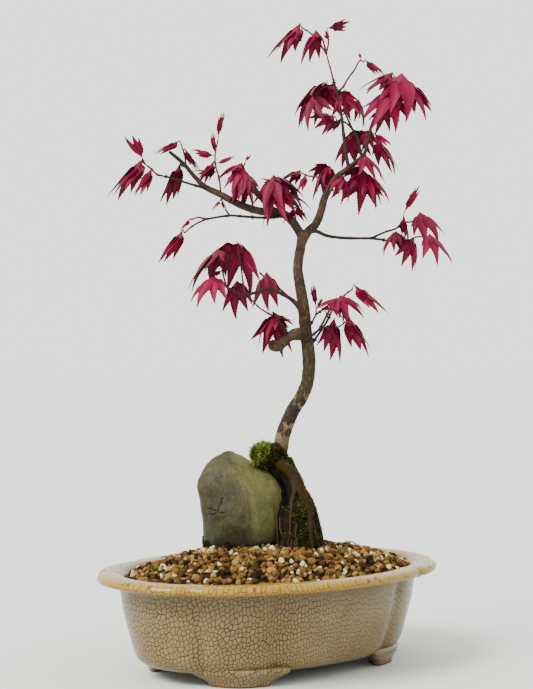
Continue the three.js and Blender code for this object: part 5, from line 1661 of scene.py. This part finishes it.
def makeScreen(name, middle, material):
    # Plastic mesh: strands that weave over and under each other.
    heap = Heap()
    cells = fittings["screenCells"]
    reach = fittings["screenSize"] - 2 * fittings["strandInset"]
    for k in range(cells + 1):
        offset = (k / cells - 0.5) * reach
        for crosswise in (False, True):
            rise = -fittings["weave"] if crosswise else fittings["weave"]
            path = []
            for j in range(cells * 2 + 1):
                along = (j / (cells * 2) - 0.5) * reach
                x, y = (offset, along) if crosswise else (along, offset)
                level = fittings["screenLevel"] + rise * math.cos(math.pi * (j / 2 + k))
                path.append(Vector((middle + x, y, level)))
            tube(heap, path, [fittings["strand"]] * len(path), sides=6, step=1.6)
    return heap.piece(name, [material], turned=False)


fine = {"mottling": (4.0, 0.25, 0.4), "relief": (0.2, 0.08), "rough": (0.35, 0.6)}
wireGrey = twoToned("wireGrey", fittings["wireTones"], **fine, Metallic=1.0)
settle(makeWire(wireGrey), "wire", "tie_wire")
plastic = twoToned("blackPlastic", fittings["plasticTones"], **fine)
for side, middle in (("left", -45), ("right", 45)):
    settle(makeScreen("screen_" + side, middle, plastic), "mesh_plastic", "drain_screen_" + side)
print("fittings made")


# Floor, light and camera

studio = {
    "floor": "cecfcb", "floorShade": "cacbc7", "floorSize": 80.0,
    "sky": "e8ebe8", "skyStrength": 2.4,
    "keyPlace": (-1.1, -0.8, 1.3),  # where the soft light comes from, in the tree's frame
    "keyStrength": 5.5, "keySoftness": 30,  # and how wide it is, in degrees
    "cameraPlace": (-3.44, -1000, 195.9),  # in the tree's frame, mm
    "cameraPitch": 0.95,
    "focalPixels": 1496.5,
}


def makeFloor():
    half = studio["floorSize"] / 2
    mesh = bpy.data.meshes.new("floor")
    corners = [(-half, -half, 0), (half, -half, 0), (half, half, 0), (-half, half, 0)]
    mesh.from_pydata(corners, [], [(0, 1, 2, 3)])
    floor = bpy.data.objects.new("floor", mesh)
    bpy.context.scene.collection.objects.link(floor)
    material, tree, shader = newMaterial("floorPale", Roughness=0.75)
    patches = mottled(tree, 400.0, 0.4, 3.0)
    pale = blended(tree, patches["Mask"], studio["floor"], studio["floorShade"])
    tree.links.new(pale, shader.inputs["Base Color"])
    mesh.materials.append(material)


def makeLights():
    world = bpy.data.worlds.new("studio")
    bpy.context.scene.world = world
    world.use_nodes = True
    sky = world.node_tree.nodes["Background"]
    sky.inputs["Color"].default_value = paint(studio["sky"])
    sky.inputs["Strength"].default_value = studio["skyStrength"]
    data = bpy.data.lights.new("key", "SUN")
    data.energy = studio["keyStrength"]
    data.angle = math.radians(studio["keySoftness"])
    light = bpy.data.objects.new("key", data)
    bpy.context.scene.collection.objects.link(light)
    light.location = inPotFrame([studio["keyPlace"]])[0]
    light.rotation_euler = (-light.location).to_track_quat("-Z", "Y").to_euler()


def makeCamera():
    data = bpy.data.cameras.new("camera")
    data.sensor_width = 36
    data.lens = 36 * studio["focalPixels"] / max(photoSize)
    camera = bpy.data.objects.new("camera", data)
    bpy.context.scene.collection.objects.link(camera)
    camera.location = inPotFrame([studio["cameraPlace"]])[0] * mm
    pitch = math.radians(studio["cameraPitch"])
    forward = Vector(inPotFrame([(0, math.cos(pitch), math.sin(pitch))])[0])
    camera.rotation_euler = forward.to_track_quat("-Z", "Y").to_euler()
    bpy.context.scene.camera = camera


makeFloor()
makeLights()
makeCamera()
print("studio made")
